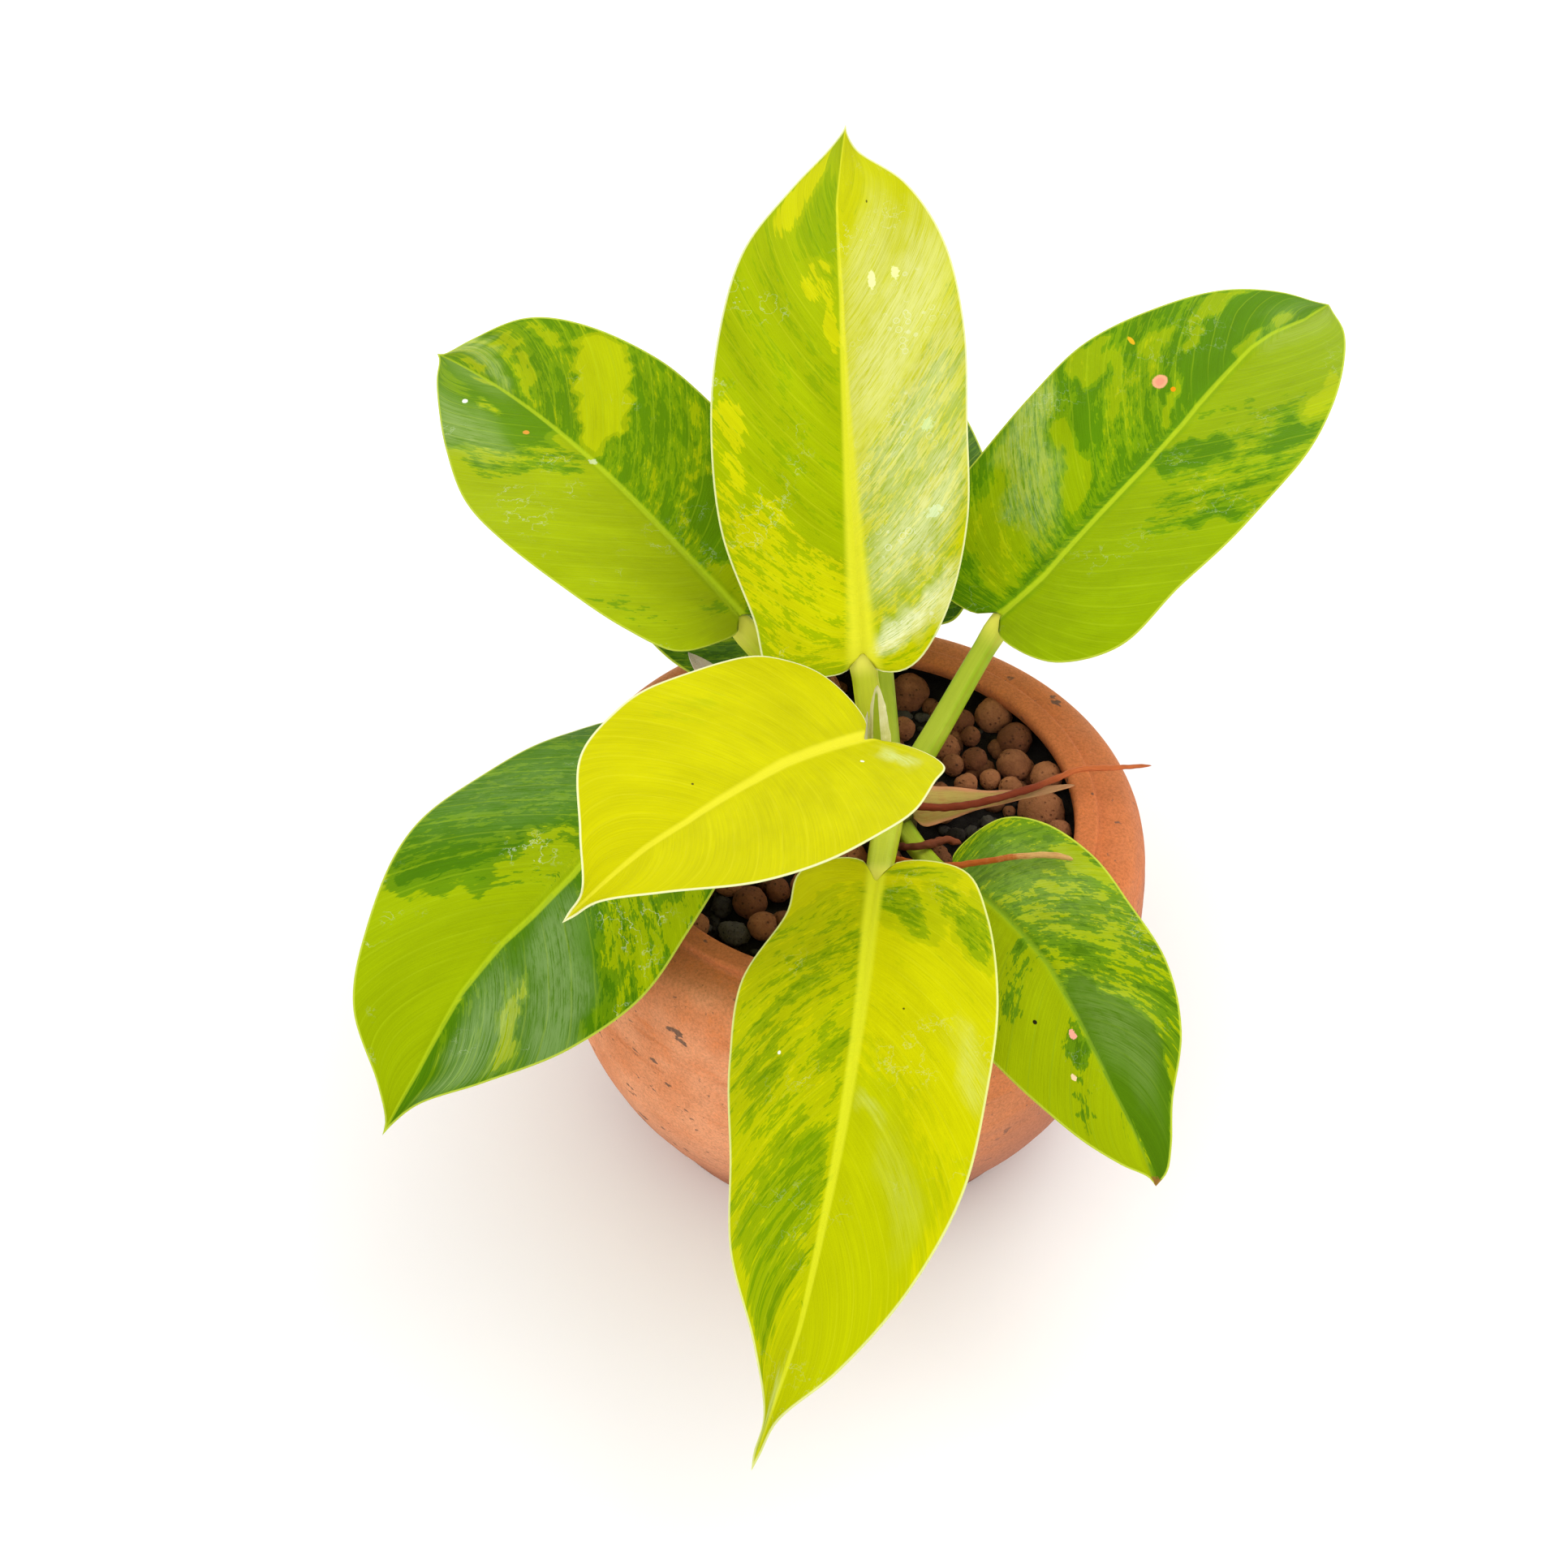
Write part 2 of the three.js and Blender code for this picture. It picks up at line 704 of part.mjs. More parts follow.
function petioleRings(leaf, frames, growth) {
  const { angle, height } = leaf.stem;
  const turn = radians(angle);
  const out = new THREE.Vector3(Math.cos(turn), Math.sin(turn), 0);
  const start = new THREE.Vector3(STEM.x, STEM.y, height).addScaledVector(out, 5);
  const first = frames[0];
  const depth = leaf.petiole * 0.42;
  const end = first.at.clone().addScaledVector(first.up, 0.1 - depth);
  const span = start.distanceTo(end);
  const chord = end.clone().sub(start).normalize();
  const leave = out.clone().multiplyScalar(0.35).add(chord).normalize();
  const droop = new THREE.Vector3(0, 0, leaf.sag || 0);
  const arrive = first.along.clone().multiplyScalar(0.3).add(chord).normalize();
  const curve = new THREE.CubicBezierCurve3(
    start,
    start.clone().addScaledVector(leave, span * 0.33).sub(droop),
    end.clone().addScaledVector(arrive, -span * 0.33).sub(droop),
    end,
  );
  const rings = [];
  for (let i = 0; i <= PETIOLE_RINGS; i++) {
    const t = i / PETIOLE_RINGS;
    const size = leaf.petiole * (1.12 - 0.22 * t) + 2 * growth;
    const frame = crossDirections(curve.getTangent(t), first.side);
    rings.push({ at: curve.getPoint(t), ...frame, width: size, height: size * 0.85 });
  }
  return rings;
}

function ribRings(leaf, frames) {
  const rings = [];
  for (let i = 1; i <= RIB_RINGS; i++) {
    const t = i / RIB_RINGS;
    const { at, side, up } = frameAt(frames, t * RIB_END);
    const width = leaf.petiole * (0.62 * (1 - t) + 0.1);
    const height = leaf.petiole * (0.5 * (1 - t) + 0.08);
    rings.push({ at: at.addScaledVector(up, 0.1 - height / 2), side, up, width, height });
  }
  return rings;
}

function petioleClearance(leaf) {
  return solidOf(rodGeometry(petioleRings(leaf, midribFrames(leaf), SEAT_GAP), ROD_SIDES));
}

function leafSolid(leaf, obstacles) {
  const frames = midribFrames(leaf);
  const rod = solidOf(rodGeometry([...petioleRings(leaf, frames, 0), ...ribRings(leaf, frames)], ROD_SIDES));
  return solidOf(bladeGeometry(leaf, frames)).add(rod.subtract(obstacles));
}

function shootSolid(shoot, growth) {
  const curve = new THREE.CatmullRomCurve3(shoot.path.map(([x, y, z]) => new THREE.Vector3(x, y, z)));
  const spans = shoot.path.length - 1;
  const steps = spans * 3;
  const rings = [];
  for (let i = 0; i <= steps; i++) {
    const t = i / steps;
    const span = Math.min(Math.floor(t * spans), spans - 1);
    const part = t * spans - span;
    const width = THREE.MathUtils.lerp(shoot.path[span][3], shoot.path[span + 1][3], part) + 2 * growth;
    const frame = crossDirections(curve.getTangent(t), new THREE.Vector3(0.3, 1, 0));
    rings.push({ at: curve.getPoint(t), ...frame, width, height: width });
  }
  return solidOf(rodGeometry(rings, ROD_SIDES));
}

// What grows from the stem stands a seat's gap off it and off the stalks of younger leaves.
function plantMeshes() {
  const meshes = [meshOf("stem", stemSolid(0), STEM_GREEN, 0.6)];
  const stemSeat = stemSolid(SEAT_GAP);
  let obstacles = stemSeat;
  for (const shoot of SHOOTS) {
    meshes.push(meshOf(shoot.name, shootSolid(shoot, 0).subtract(stemSeat), shoot.colour, 0.6));
    if (shoot.wrapped) obstacles = obstacles.add(shootSolid(shoot, SEAT_GAP));
  }
  for (const leaf of LEAVES) {
    meshes.push(meshOf(leaf.name, leafSolid(leaf, obstacles), leaf.colour, 0.45));
    obstacles = obstacles.add(petioleClearance(leaf));
  }
  for (const scale of SCALES) {
    const blade = solidOf(bladeGeometry(scale, midribFrames(scale)));
    meshes.push(meshOf(scale.name, blade.subtract(obstacles), scale.colour, 0.8));
  }
  return meshes;
}

const pot = new THREE.Group();
pot.add(meshOf("pot", potSolid(), TERRACOTTA, 0.85));

const filling = new THREE.Group();
filling.add(meshOf("growing_medium", mediumSolid(), DARK_MEDIUM, 0.95));
filling.add(meshOf("clay_pebbles", pebblesSolid(), FIRED_CLAY, 0.95));

const plant = new THREE.Group();
plant.add(...plantMeshes());

const group = new THREE.Group();
group.add(pot, filling, plant);

export default group;
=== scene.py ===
# A variegated philodendron in a round-bellied terracotta pot: its fine forms and its finishes.
# Metres, +Z up, the origin at the centre of the pot's flat underside, the front of the plant towards -Y.
import logging
import math
from dataclasses import dataclass, field
from enum import Enum
from typing import Any, Callable, Union

import bmesh
import bpy
import numpy as np
from mathutils import Matrix, Vector, noise


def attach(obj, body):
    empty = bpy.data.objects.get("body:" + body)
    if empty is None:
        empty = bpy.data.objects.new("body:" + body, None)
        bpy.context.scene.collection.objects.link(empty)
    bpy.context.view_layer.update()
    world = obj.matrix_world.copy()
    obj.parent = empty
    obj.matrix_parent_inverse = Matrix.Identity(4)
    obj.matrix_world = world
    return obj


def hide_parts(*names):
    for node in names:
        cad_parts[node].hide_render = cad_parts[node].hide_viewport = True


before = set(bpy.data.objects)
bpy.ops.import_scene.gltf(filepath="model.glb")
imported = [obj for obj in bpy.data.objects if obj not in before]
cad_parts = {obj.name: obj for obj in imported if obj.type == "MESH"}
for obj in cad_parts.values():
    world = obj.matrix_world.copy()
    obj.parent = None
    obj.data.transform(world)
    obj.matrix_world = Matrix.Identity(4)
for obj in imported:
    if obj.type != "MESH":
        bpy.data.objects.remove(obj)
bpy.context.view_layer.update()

log = logging.getLogger("potted_philodendron")

MM = 0.001
BODY = "root"

Colour = tuple[float, float, float]
Point = tuple[float, float, float]
Line = list[tuple[float, float]]
Faces = list[tuple[int, ...]]
Array = np.ndarray
Values = dict[str, Array]
Socket = bpy.types.NodeSocket
Material = bpy.types.Material
Piece = bpy.types.Object
Value = Union["Signal", float]


class Slot(Enum):
    """The material slots."""

    TERRACOTTA = "terracotta"
    MEDIUM = "growing_medium"
    PEBBLES = "clay_pebbles"
    STEM = "stem"
    NEW_GROWTH = "new_growth"
    ROOTS = "aerial_roots"
    YELLOW_LEAF = "leaf_yellow"
    VARIEGATED_LEAF = "leaf_variegated"
    SCALES = "cataphylls"


def paint(red: int, green: int, blue: int) -> Colour:
    """Turns a screen colour into the linear colour that a material holds.

    Args:
        red, green, blue: the screen colour's parts, 0 to 255.

    Returns:
        The three linear parts, 0 to 1.
    """
    parts = [value / 255 for value in (red, green, blue)]
    linear = [p / 12.92 if p <= 0.04045 else ((p + 0.055) / 1.055) ** 2.4 for p in parts]
    return (linear[0], linear[1], linear[2])


class Signal:
    """One value in a material, on which plain arithmetic adds Math nodes."""

    def __init__(self, graph: "Graph", socket: Socket) -> None:
        """Keeps the socket and the graph that it belongs to."""
        self.graph = graph
        self.socket = socket

    def math(self, operation: str, *values: Value) -> "Signal":
        """Adds one Math node.

        Args:
            operation: the node's operation.
            values: its inputs, in order.

        Returns:
            The node's result.
        """
        inputs = {index: value for index, value in enumerate(values)}
        made = self.graph.node("ShaderNodeMath", {"operation": operation}, inputs)
        return Signal(self.graph, made.outputs[0])

    def __add__(self, other: Value) -> "Signal":
        """The sum."""
        return self.math("ADD", self, other)

    def __radd__(self, other: float) -> "Signal":
        """The sum, with the number first."""
        return self.math("ADD", other, self)

    def __sub__(self, other: Value) -> "Signal":
        """The difference."""
        return self.math("SUBTRACT", self, other)

    def __rsub__(self, other: float) -> "Signal":
        """The difference, with the number first."""
        return self.math("SUBTRACT", other, self)

    def __mul__(self, other: Value) -> "Signal":
        """The product."""
        return self.math("MULTIPLY", self, other)

    def __rmul__(self, other: float) -> "Signal":
        """The product, with the number first."""
        return self.math("MULTIPLY", other, self)

    def __truediv__(self, other: Value) -> "Signal":
        """The quotient."""
        return self.math("DIVIDE", self, other)

    def __pow__(self, other: Value) -> "Signal":
        """The power."""
        return self.math("POWER", self, other)

    def __abs__(self) -> "Signal":
        """The value without its sign."""
        return self.math("ABSOLUTE", self)

    def least(self, other: Value) -> "Signal":
        """The smaller of the two."""
        return self.math("MINIMUM", self, other)

    def ramp(self, low: float, high: float) -> "Signal":
        """A smooth step from 0 at low to 1 at high.

        Args:
            low: where the step starts.
            high: where it ends, which may be below low.

        Returns:
            The step.
        """
        flip = low > high
        first, last = (high, low) if flip else (low, high)
        settings = {"interpolation_type": "SMOOTHSTEP"}
        inputs = {"Value": self, "From Min": first, "From Max": last}
        made = self.graph.node("ShaderNodeMapRange", settings, inputs)
        step = Signal(self.graph, made.outputs[0])
        return 1 - step if flip else step


class Graph:
    """A material's nodes, round one Principled BSDF."""

    def __init__(self, name: str) -> None:
        """Makes the empty material.

        Args:
            name: the material's name.
        """
        self.material = bpy.data.materials.new(name)
        self.material.use_nodes = True
        self.tree = self.material.node_tree
        self.tree.nodes.clear()
        self.shader = self.node("ShaderNodeBsdfPrincipled", {}, {})
        output = self.node("ShaderNodeOutputMaterial", {}, {})
        self.tree.links.new(self.shader.outputs[0], output.inputs["Surface"])

    def node(self, kind: str, settings: dict[str, Any], inputs: dict[str | int, Any]) -> bpy.types.Node:
        """Adds any node.

        Args:
            kind: the node's type.
            settings: its own settings, which are set first.
            inputs: values or links for its sockets, by name or number.

        Returns:
            The node.
        """
        made = self.tree.nodes.new(kind)
        for name, value in settings.items():
            setattr(made, name, value)
        for key, value in inputs.items():
            self.feed(made.inputs[key], value)
        return made

    def feed(self, socket: Socket, value: Any) -> None:
        """Links or sets one input socket.

        Args:
            socket: the input.
            value: a Signal, a socket, a number, or a colour or vector.
        """
        source = value.socket if isinstance(value, Signal) else value
        if isinstance(source, Socket):
            self.tree.links.new(source, socket)
        elif socket.type == "RGBA":
            socket.default_value = (*source, 1.0)
        else:
            socket.default_value = source

    def signal(self, node: bpy.types.Node, output: str | int = 0) -> Signal:
        """One output of a node as a value to reckon with."""
        return Signal(self, node.outputs[output])

    def parts(self, name: str) -> tuple[Signal, Signal, Signal]:
        """The three numbers that each point of the mesh keeps under a name.

        Args:
            name: the attribute's name.

        Returns:
            The three values.
        """
        kept = self.node("ShaderNodeAttribute", {"attribute_name": name}, {})
        split = self.node("ShaderNodeSeparateXYZ", {}, {0: kept.outputs["Vector"]})
        return (self.signal(split, 0), self.signal(split, 1), self.signal(split, 2))

    def place(self) -> Socket:
        """The point on the object, in metres."""
        return self.node("ShaderNodeTexCoord", {}, {}).outputs["Object"]

    def vector(self, x: Value, y: Value, z: Value) -> Socket:
        """Three values as one vector."""
        return self.node("ShaderNodeCombineXYZ", {}, {0: x, 1: y, 2: z}).outputs[0]

    def stretched(self, vector: Socket, by: Point) -> Socket:
        """A vector with each part multiplied by its own number."""
        return self.node("ShaderNodeVectorMath", {"operation": "MULTIPLY"}, {0: vector, 1: by}).outputs[0]

    def grain(self, at: Socket, scale: float, detail: float = 2.0, rough: float = 0.5) -> Signal:
        """Cloudy noise, mostly 0.3 to 0.7.

        Args:
            at: where the noise is read.
            scale: how fine it is.
            detail: how many finer layers it has.
            rough: how strong the finer layers are.

        Returns:
            The noise.
        """
        inputs = {"Vector": at, "Scale": scale, "Detail": detail, "Roughness": rough}
        return self.signal(self.node("ShaderNodeTexNoise", {}, inputs), "Fac")

    def cells(self, at: Socket, scale: float) -> Signal:
        """The distance to the nearest of many scattered points.

        Args:
            at: where it is read.
            scale: how close the points are.

        Returns:
            The distance.
        """
        made = self.node("ShaderNodeTexVoronoi", {}, {"Vector": at, "Scale": scale})
        return self.signal(made, "Distance")

    def mix(self, share: Value, first: Any, second: Any) -> Socket:
        """Mixes two colours.

        Args:
            share: how much of the second is in the mix.
            first: a colour or a colour socket.
            second: a colour or a colour socket.

        Returns:
            The mixed colour.
        """
        made = self.node("ShaderNodeMix", {"data_type": "RGBA"}, {0: share, 6: first, 7: second})
        return made.outputs[2]

    def layered(self, colour: Any, *layers: tuple[Value, Any]) -> Socket:
        """Lays colours over a first one.

        Args:
            colour: the first colour.
            layers: the share and the colour of each one above it, in order.

        Returns:
            The colour of them all.
        """
        for share, above in layers:
            colour = self.mix(share, colour, above)
        return colour

    def toned(self, colour: Any, amount: Value) -> Socket:
        """A colour made darker or lighter by a factor."""
        made = self.node("ShaderNodeVectorMath", {"operation": "SCALE"}, {0: colour, "Scale": amount})
        return made.outputs[0]

    def bump(self, height: Signal, depth: float, below: Socket | None = None) -> Socket:
        """Turns a height into a bumpy surface.

        Args:
            height: the height, in units of depth.
            depth: the depth in metres.
            below: a coarser bump that this one lies on.

        Returns:
            The normal.
        """
        inputs: dict[str | int, Any] = {"Height": height, "Distance": depth, "Strength": 1.0}
        if below is not None:
            inputs["Normal"] = below
        return self.node("ShaderNodeBump", {}, inputs).outputs[0]

    def finish(self, **sockets: Any) -> Material:
        """Feeds the shader's own sockets.

        Args:
            sockets: values or links, by the socket's name with _ for each space.

        Returns:
            The finished material.
        """
        for name, value in sockets.items():
            self.feed(self.shader.inputs[name.replace("_", " ")], value)
        return self.material


def in_scene(name: str, data: Any) -> Piece:
    """Puts a new object in the scene.

    Args:
        name: its name.
        data: its mesh, lamp or lens.

    Returns:
        The object.
    """
    made = bpy.data.objects.new(name, data)
    bpy.context.scene.collection.objects.link(made)
    return made


@dataclass
class Draft:
    """A mesh in the making: points with named values, and faces with a finish number."""

    points: list[Array] = field(default_factory=list)
    faces: Faces = field(default_factory=list)
    finishes: list[int] = field(default_factory=list)
    values: dict[str, dict[int, Array]] = field(default_factory=dict)
    count: int = 0

    def add_points(self, points: Array, values: Values) -> int:
        """Adds points.

        Args:
            points: an array whose last axis is x, y, z, in metres.
            values: three numbers for each point, by name.

        Returns:
            The first point's number.
        """
        first = self.count
        flat = points.reshape(-1, 3)
        self.points.append(flat)
        for name, numbers in values.items():
            self.values.setdefault(name, {})[first] = numbers.reshape(-1, 3)
        self.count += len(flat)
        return first

    def add_faces(self, faces: Faces, finish: int = 0) -> None:
        """Adds faces that share a finish.

        Args:
            faces: each face's points, by number.
            finish: the finish number.
        """
        self.faces.extend(faces)
        self.finishes.extend([finish] * len(faces))

    def add_grid(
        self, points: Array, values: Values, finish: int = 0, ring: bool = False, flip: bool = False
    ) -> int:
        """Adds a sheet of quads.

        Args:
            points: rows by columns by x, y, z.
            values: three numbers for each point, by name.
            finish: the finish number.
            ring: whether the last column joins the first.
            flip: whether the faces turn round.

        Returns:
            The first point's number.
        """
        first = self.add_points(points, values)
        rows, columns = points.shape[:2]
        spans = columns if ring else columns - 1
        faces = []
        for row in range(rows - 1):
            for column in range(spans):
                a = first + row * columns + column
                b = first + row * columns + (column + 1) % columns
                quad = (a, b, b + columns, a + columns)
                faces.append(quad[::-1] if flip else quad)
        self.add_faces(faces, finish)
        return first

    def add_tube(self, points: Array, values: Values, finish: int = 0) -> None:
        """Adds rings of points as one skin with a flat face at each end.

        Args:
            points: rings by points by x, y, z.
            values: three numbers for each point, by name.
            finish: the finish number.
        """
        first = self.add_grid(points, values, finish, ring=True)
        rings, sides = points.shape[:2]
        last = first + (rings - 1) * sides
        self.add_faces([tuple(range(first, first + sides))[::-1], tuple(range(last, last + sides))], finish)

    def mesh(self, name: str) -> bpy.types.Mesh:
        """Makes the Blender mesh, smooth, with its values as attributes.

        Args:
            name: the mesh's name.

        Returns:
            The mesh.
        """
        made = bpy.data.meshes.new(name)
        made.from_pydata(np.concatenate(self.points).tolist(), [], self.faces)
        made.polygons.foreach_set("material_index", self.finishes)
        made.polygons.foreach_set("use_smooth", [True] * len(self.faces))
        for key, blocks in self.values.items():
            numbers = np.zeros((self.count, 3), np.float32)
            for first, block in blocks.items():
                numbers[first : first + len(block)] = block
            kept = made.attributes.new(key, "FLOAT_VECTOR", "POINT")
            kept.data.foreach_set("vector", numbers.ravel())
        made.update()
        return made

    def piece(self, name: str, materials: list[Material], slot: Slot, *nodes: str) -> Piece:
        """Makes the finished piece, which stands for its CAD nodes.

        Args:
            name: the piece's name.
            materials: its finishes, in the order of their numbers.
            slot: the material slot; not used.
            nodes: the CAD nodes that it stands for.

        Returns:
            The piece.
        """
        made = in_scene(name, self.mesh(name))
        for material in materials:
            made.data.materials.append(material)
        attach(made, BODY)
        if nodes:
            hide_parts(*nodes)
        return made


def report(piece: Piece) -> None:
    """Logs a piece's name and how fine it is."""
    log.info("%s: %d points, %d faces", piece.name, len(piece.data.vertices), len(piece.data.polygons))


def curve_through(points: Array, count: int) -> Array:
    """A smooth centripetal curve through points.

    Args:
        points: the points that it passes through.
        count: how many points the curve gets.

    Returns:
        The curve's points.
    """
    padded = np.vstack([2 * points[0] - points[1], points, 2 * points[-1] - points[-2]])
    spans = len(points) - 1
    out = []
    for t in np.linspace(0, 1, count) * spans:
        index = min(int(t), spans - 1)
        w = t - index
        p0, p1, p2, p3 = padded[index : index + 4]
        d0, d1, d2 = (np.sqrt(np.linalg.norm(b - a)) for a, b in ((p0, p1), (p1, p2), (p2, p3)))
        d1 = d1 if d1 > 1e-7 else 1.0
        d0 = d0 if d0 > 1e-7 else d1
        d2 = d2 if d2 > 1e-7 else d1
        leave = ((p1 - p0) / d0 - (p2 - p0) / (d0 + d1) + (p2 - p1) / d1) * d1
        arrive = ((p2 - p1) / d1 - (p3 - p1) / (d1 + d2) + (p3 - p2) / d2) * d1
        square = -3 * p1 + 3 * p2 - 2 * leave - arrive
        cube = 2 * p1 - 2 * p2 + leave + arrive
        out.append(p1 + leave * w + square * w**2 + cube * w**3)
    return np.array(out)


def bezier(controls: list[Array], t: Array) -> Array:
    """Points on a cubic curve.

    Args:
        controls: its four control points.
        t: the places along it, 0 to 1.

    Returns:
        One point for each place.
    """
    s = 1 - t
    weights = [s**3, 3 * s**2 * t, 3 * s * t**2, t**3]
    return sum(w[:, None] * np.asarray(c, float) for w, c in zip(weights, controls))


def unit(vectors: Array) -> Array:
    """Vectors brought to length one."""
    return vectors / np.maximum(np.linalg.norm(vectors, axis=-1, keepdims=True), 1e-12)


def hump(away: Array | float, width: float) -> Any:
    """1 in the middle, and fading off over a width."""
    return np.exp(-((away / width) ** 2))


def stacked(*grids: Array) -> Array:
    """Three grids of numbers as one grid of threes."""
    return np.stack(grids, axis=-1)


def reach_along(line: Array) -> Array:
    """The way along a line to each of its points."""
    return np.concatenate([[0.0], np.cumsum(np.linalg.norm(np.diff(line, axis=0), axis=1))])


def joined(low: Line, high: Line, count: int) -> Line:
    """Two cubic curves, one after the other.

    Args:
        low, high: their four control points each, the last of low being the first of high.
        count: how many points each gets.

    Returns:
        The points.
    """
    t = np.linspace(0, 1, count)
    return [tuple(p) for p in np.vstack([bezier(low, t), bezier(high, t)[1:]])]


def seeded(seed: int) -> Callable[[], float]:
    """A repeatable source of numbers from 0 to 1.

    Args:
        seed: where the row of numbers starts.

    Returns:
        A function that gives the next number.
    """
    state = [seed]

    def draw() -> float:
        """The next number."""
        state[0] = (state[0] * 1664525 + 1013904223) % 4294967296
        return state[0] / 4294967296

    return draw


def scattered(draw: Callable[[], float], spread: float, least: float, span: float) -> tuple[float, ...]:
    """A random place in a disc, and a random size.

    Args:
        draw: gives the next random number.
        spread: the disc's radius.
        least: the smallest size.
        span: how much larger the largest is.

    Returns:
        x, y, the size and the way out from the middle.
    """
    reach = spread * math.sqrt(draw())
    turn = 2 * math.pi * draw()
    return reach * math.cos(turn), reach * math.sin(turn), least + span * draw(), reach


def rough_ball(detail: int) -> tuple[Array, Faces]:
    """A round mesh of even triangles.

    Args:
        detail: how many times each triangle is split.

    Returns:
        Its points on the unit sphere and its faces.
    """
    work = bmesh.new()
    bmesh.ops.create_icosphere(work, subdivisions=detail, radius=1.0)
    places = np.array([v.co[:] for v in work.verts])
    faces = [tuple(v.index for v in face.verts) for face in work.faces]
    work.free()
    return places, faces


BALLS = {detail: rough_ball(detail) for detail in (2, 3, 4)}
# The blades' form. Stations and outs are shares of the length and of the way out from the midrib.
WIDTH_STATIONS = (0.06, 0.2, 0.36, 0.52, 0.68, 0.82, 0.92, 0.975)
MIDRIB_STEPS = 40
VEIN_SPREAD = 1.4
EDGE_WAVES = 3
SINUS_HALF_WIDTH = 3.0
SHOULDER = 0.53
EDGE_STEPS = 600
EDGE_ROLL = 8.0
OUTS = (
    0.016, 0.034, 0.055, 0.08, 0.11, 0.15, 0.2, 0.26, 0.33, 0.41, 0.49, 0.57, 0.65, 0.73, 0.8, 0.87, 0.93,
    0.975, 1.0,
)


@dataclass(frozen=True)
class Half:
    """One half of a blade: its lobe, and its half widths in millimetres at the width stations."""

    lobe: float
    spread: float
    widths: tuple[float, ...]
    shoulder: float = SHOULDER

    def edge(self, length: float, shares: Array) -> Array:
        """The edge from the notch round the lobe to the tip.

        Args:
            length: the blade's length.
            shares: places along the edge, 0 to 1, even in its length.

        Returns:
            [x, y] for each place, y positive.
        """
        widest = max(self.widths)
        lobe_width = self.spread * widest
        corners = [(0.0, min(SINUS_HALF_WIDTH, self.widths[0] * 0.4))]
        if self.lobe > 0:
            corners += [
                (-0.75 * self.lobe, max(0.33 * lobe_width, SINUS_HALF_WIDTH + 1)),
                (-self.lobe, lobe_width),
                (-0.55 * self.lobe, 0.45 * lobe_width + self.shoulder * widest),
            ]
        corners += [(station * length, width) for station, width in zip(WIDTH_STATIONS, self.widths)]
        corners.append((length, 0.0))
        line = curve_through(np.array(corners, float), EDGE_STEPS)
        reach = reach_along(line)
        reach /= reach[-1]
        return np.stack([np.interp(shares, reach, line[:, k]) for k in range(2)], axis=-1)


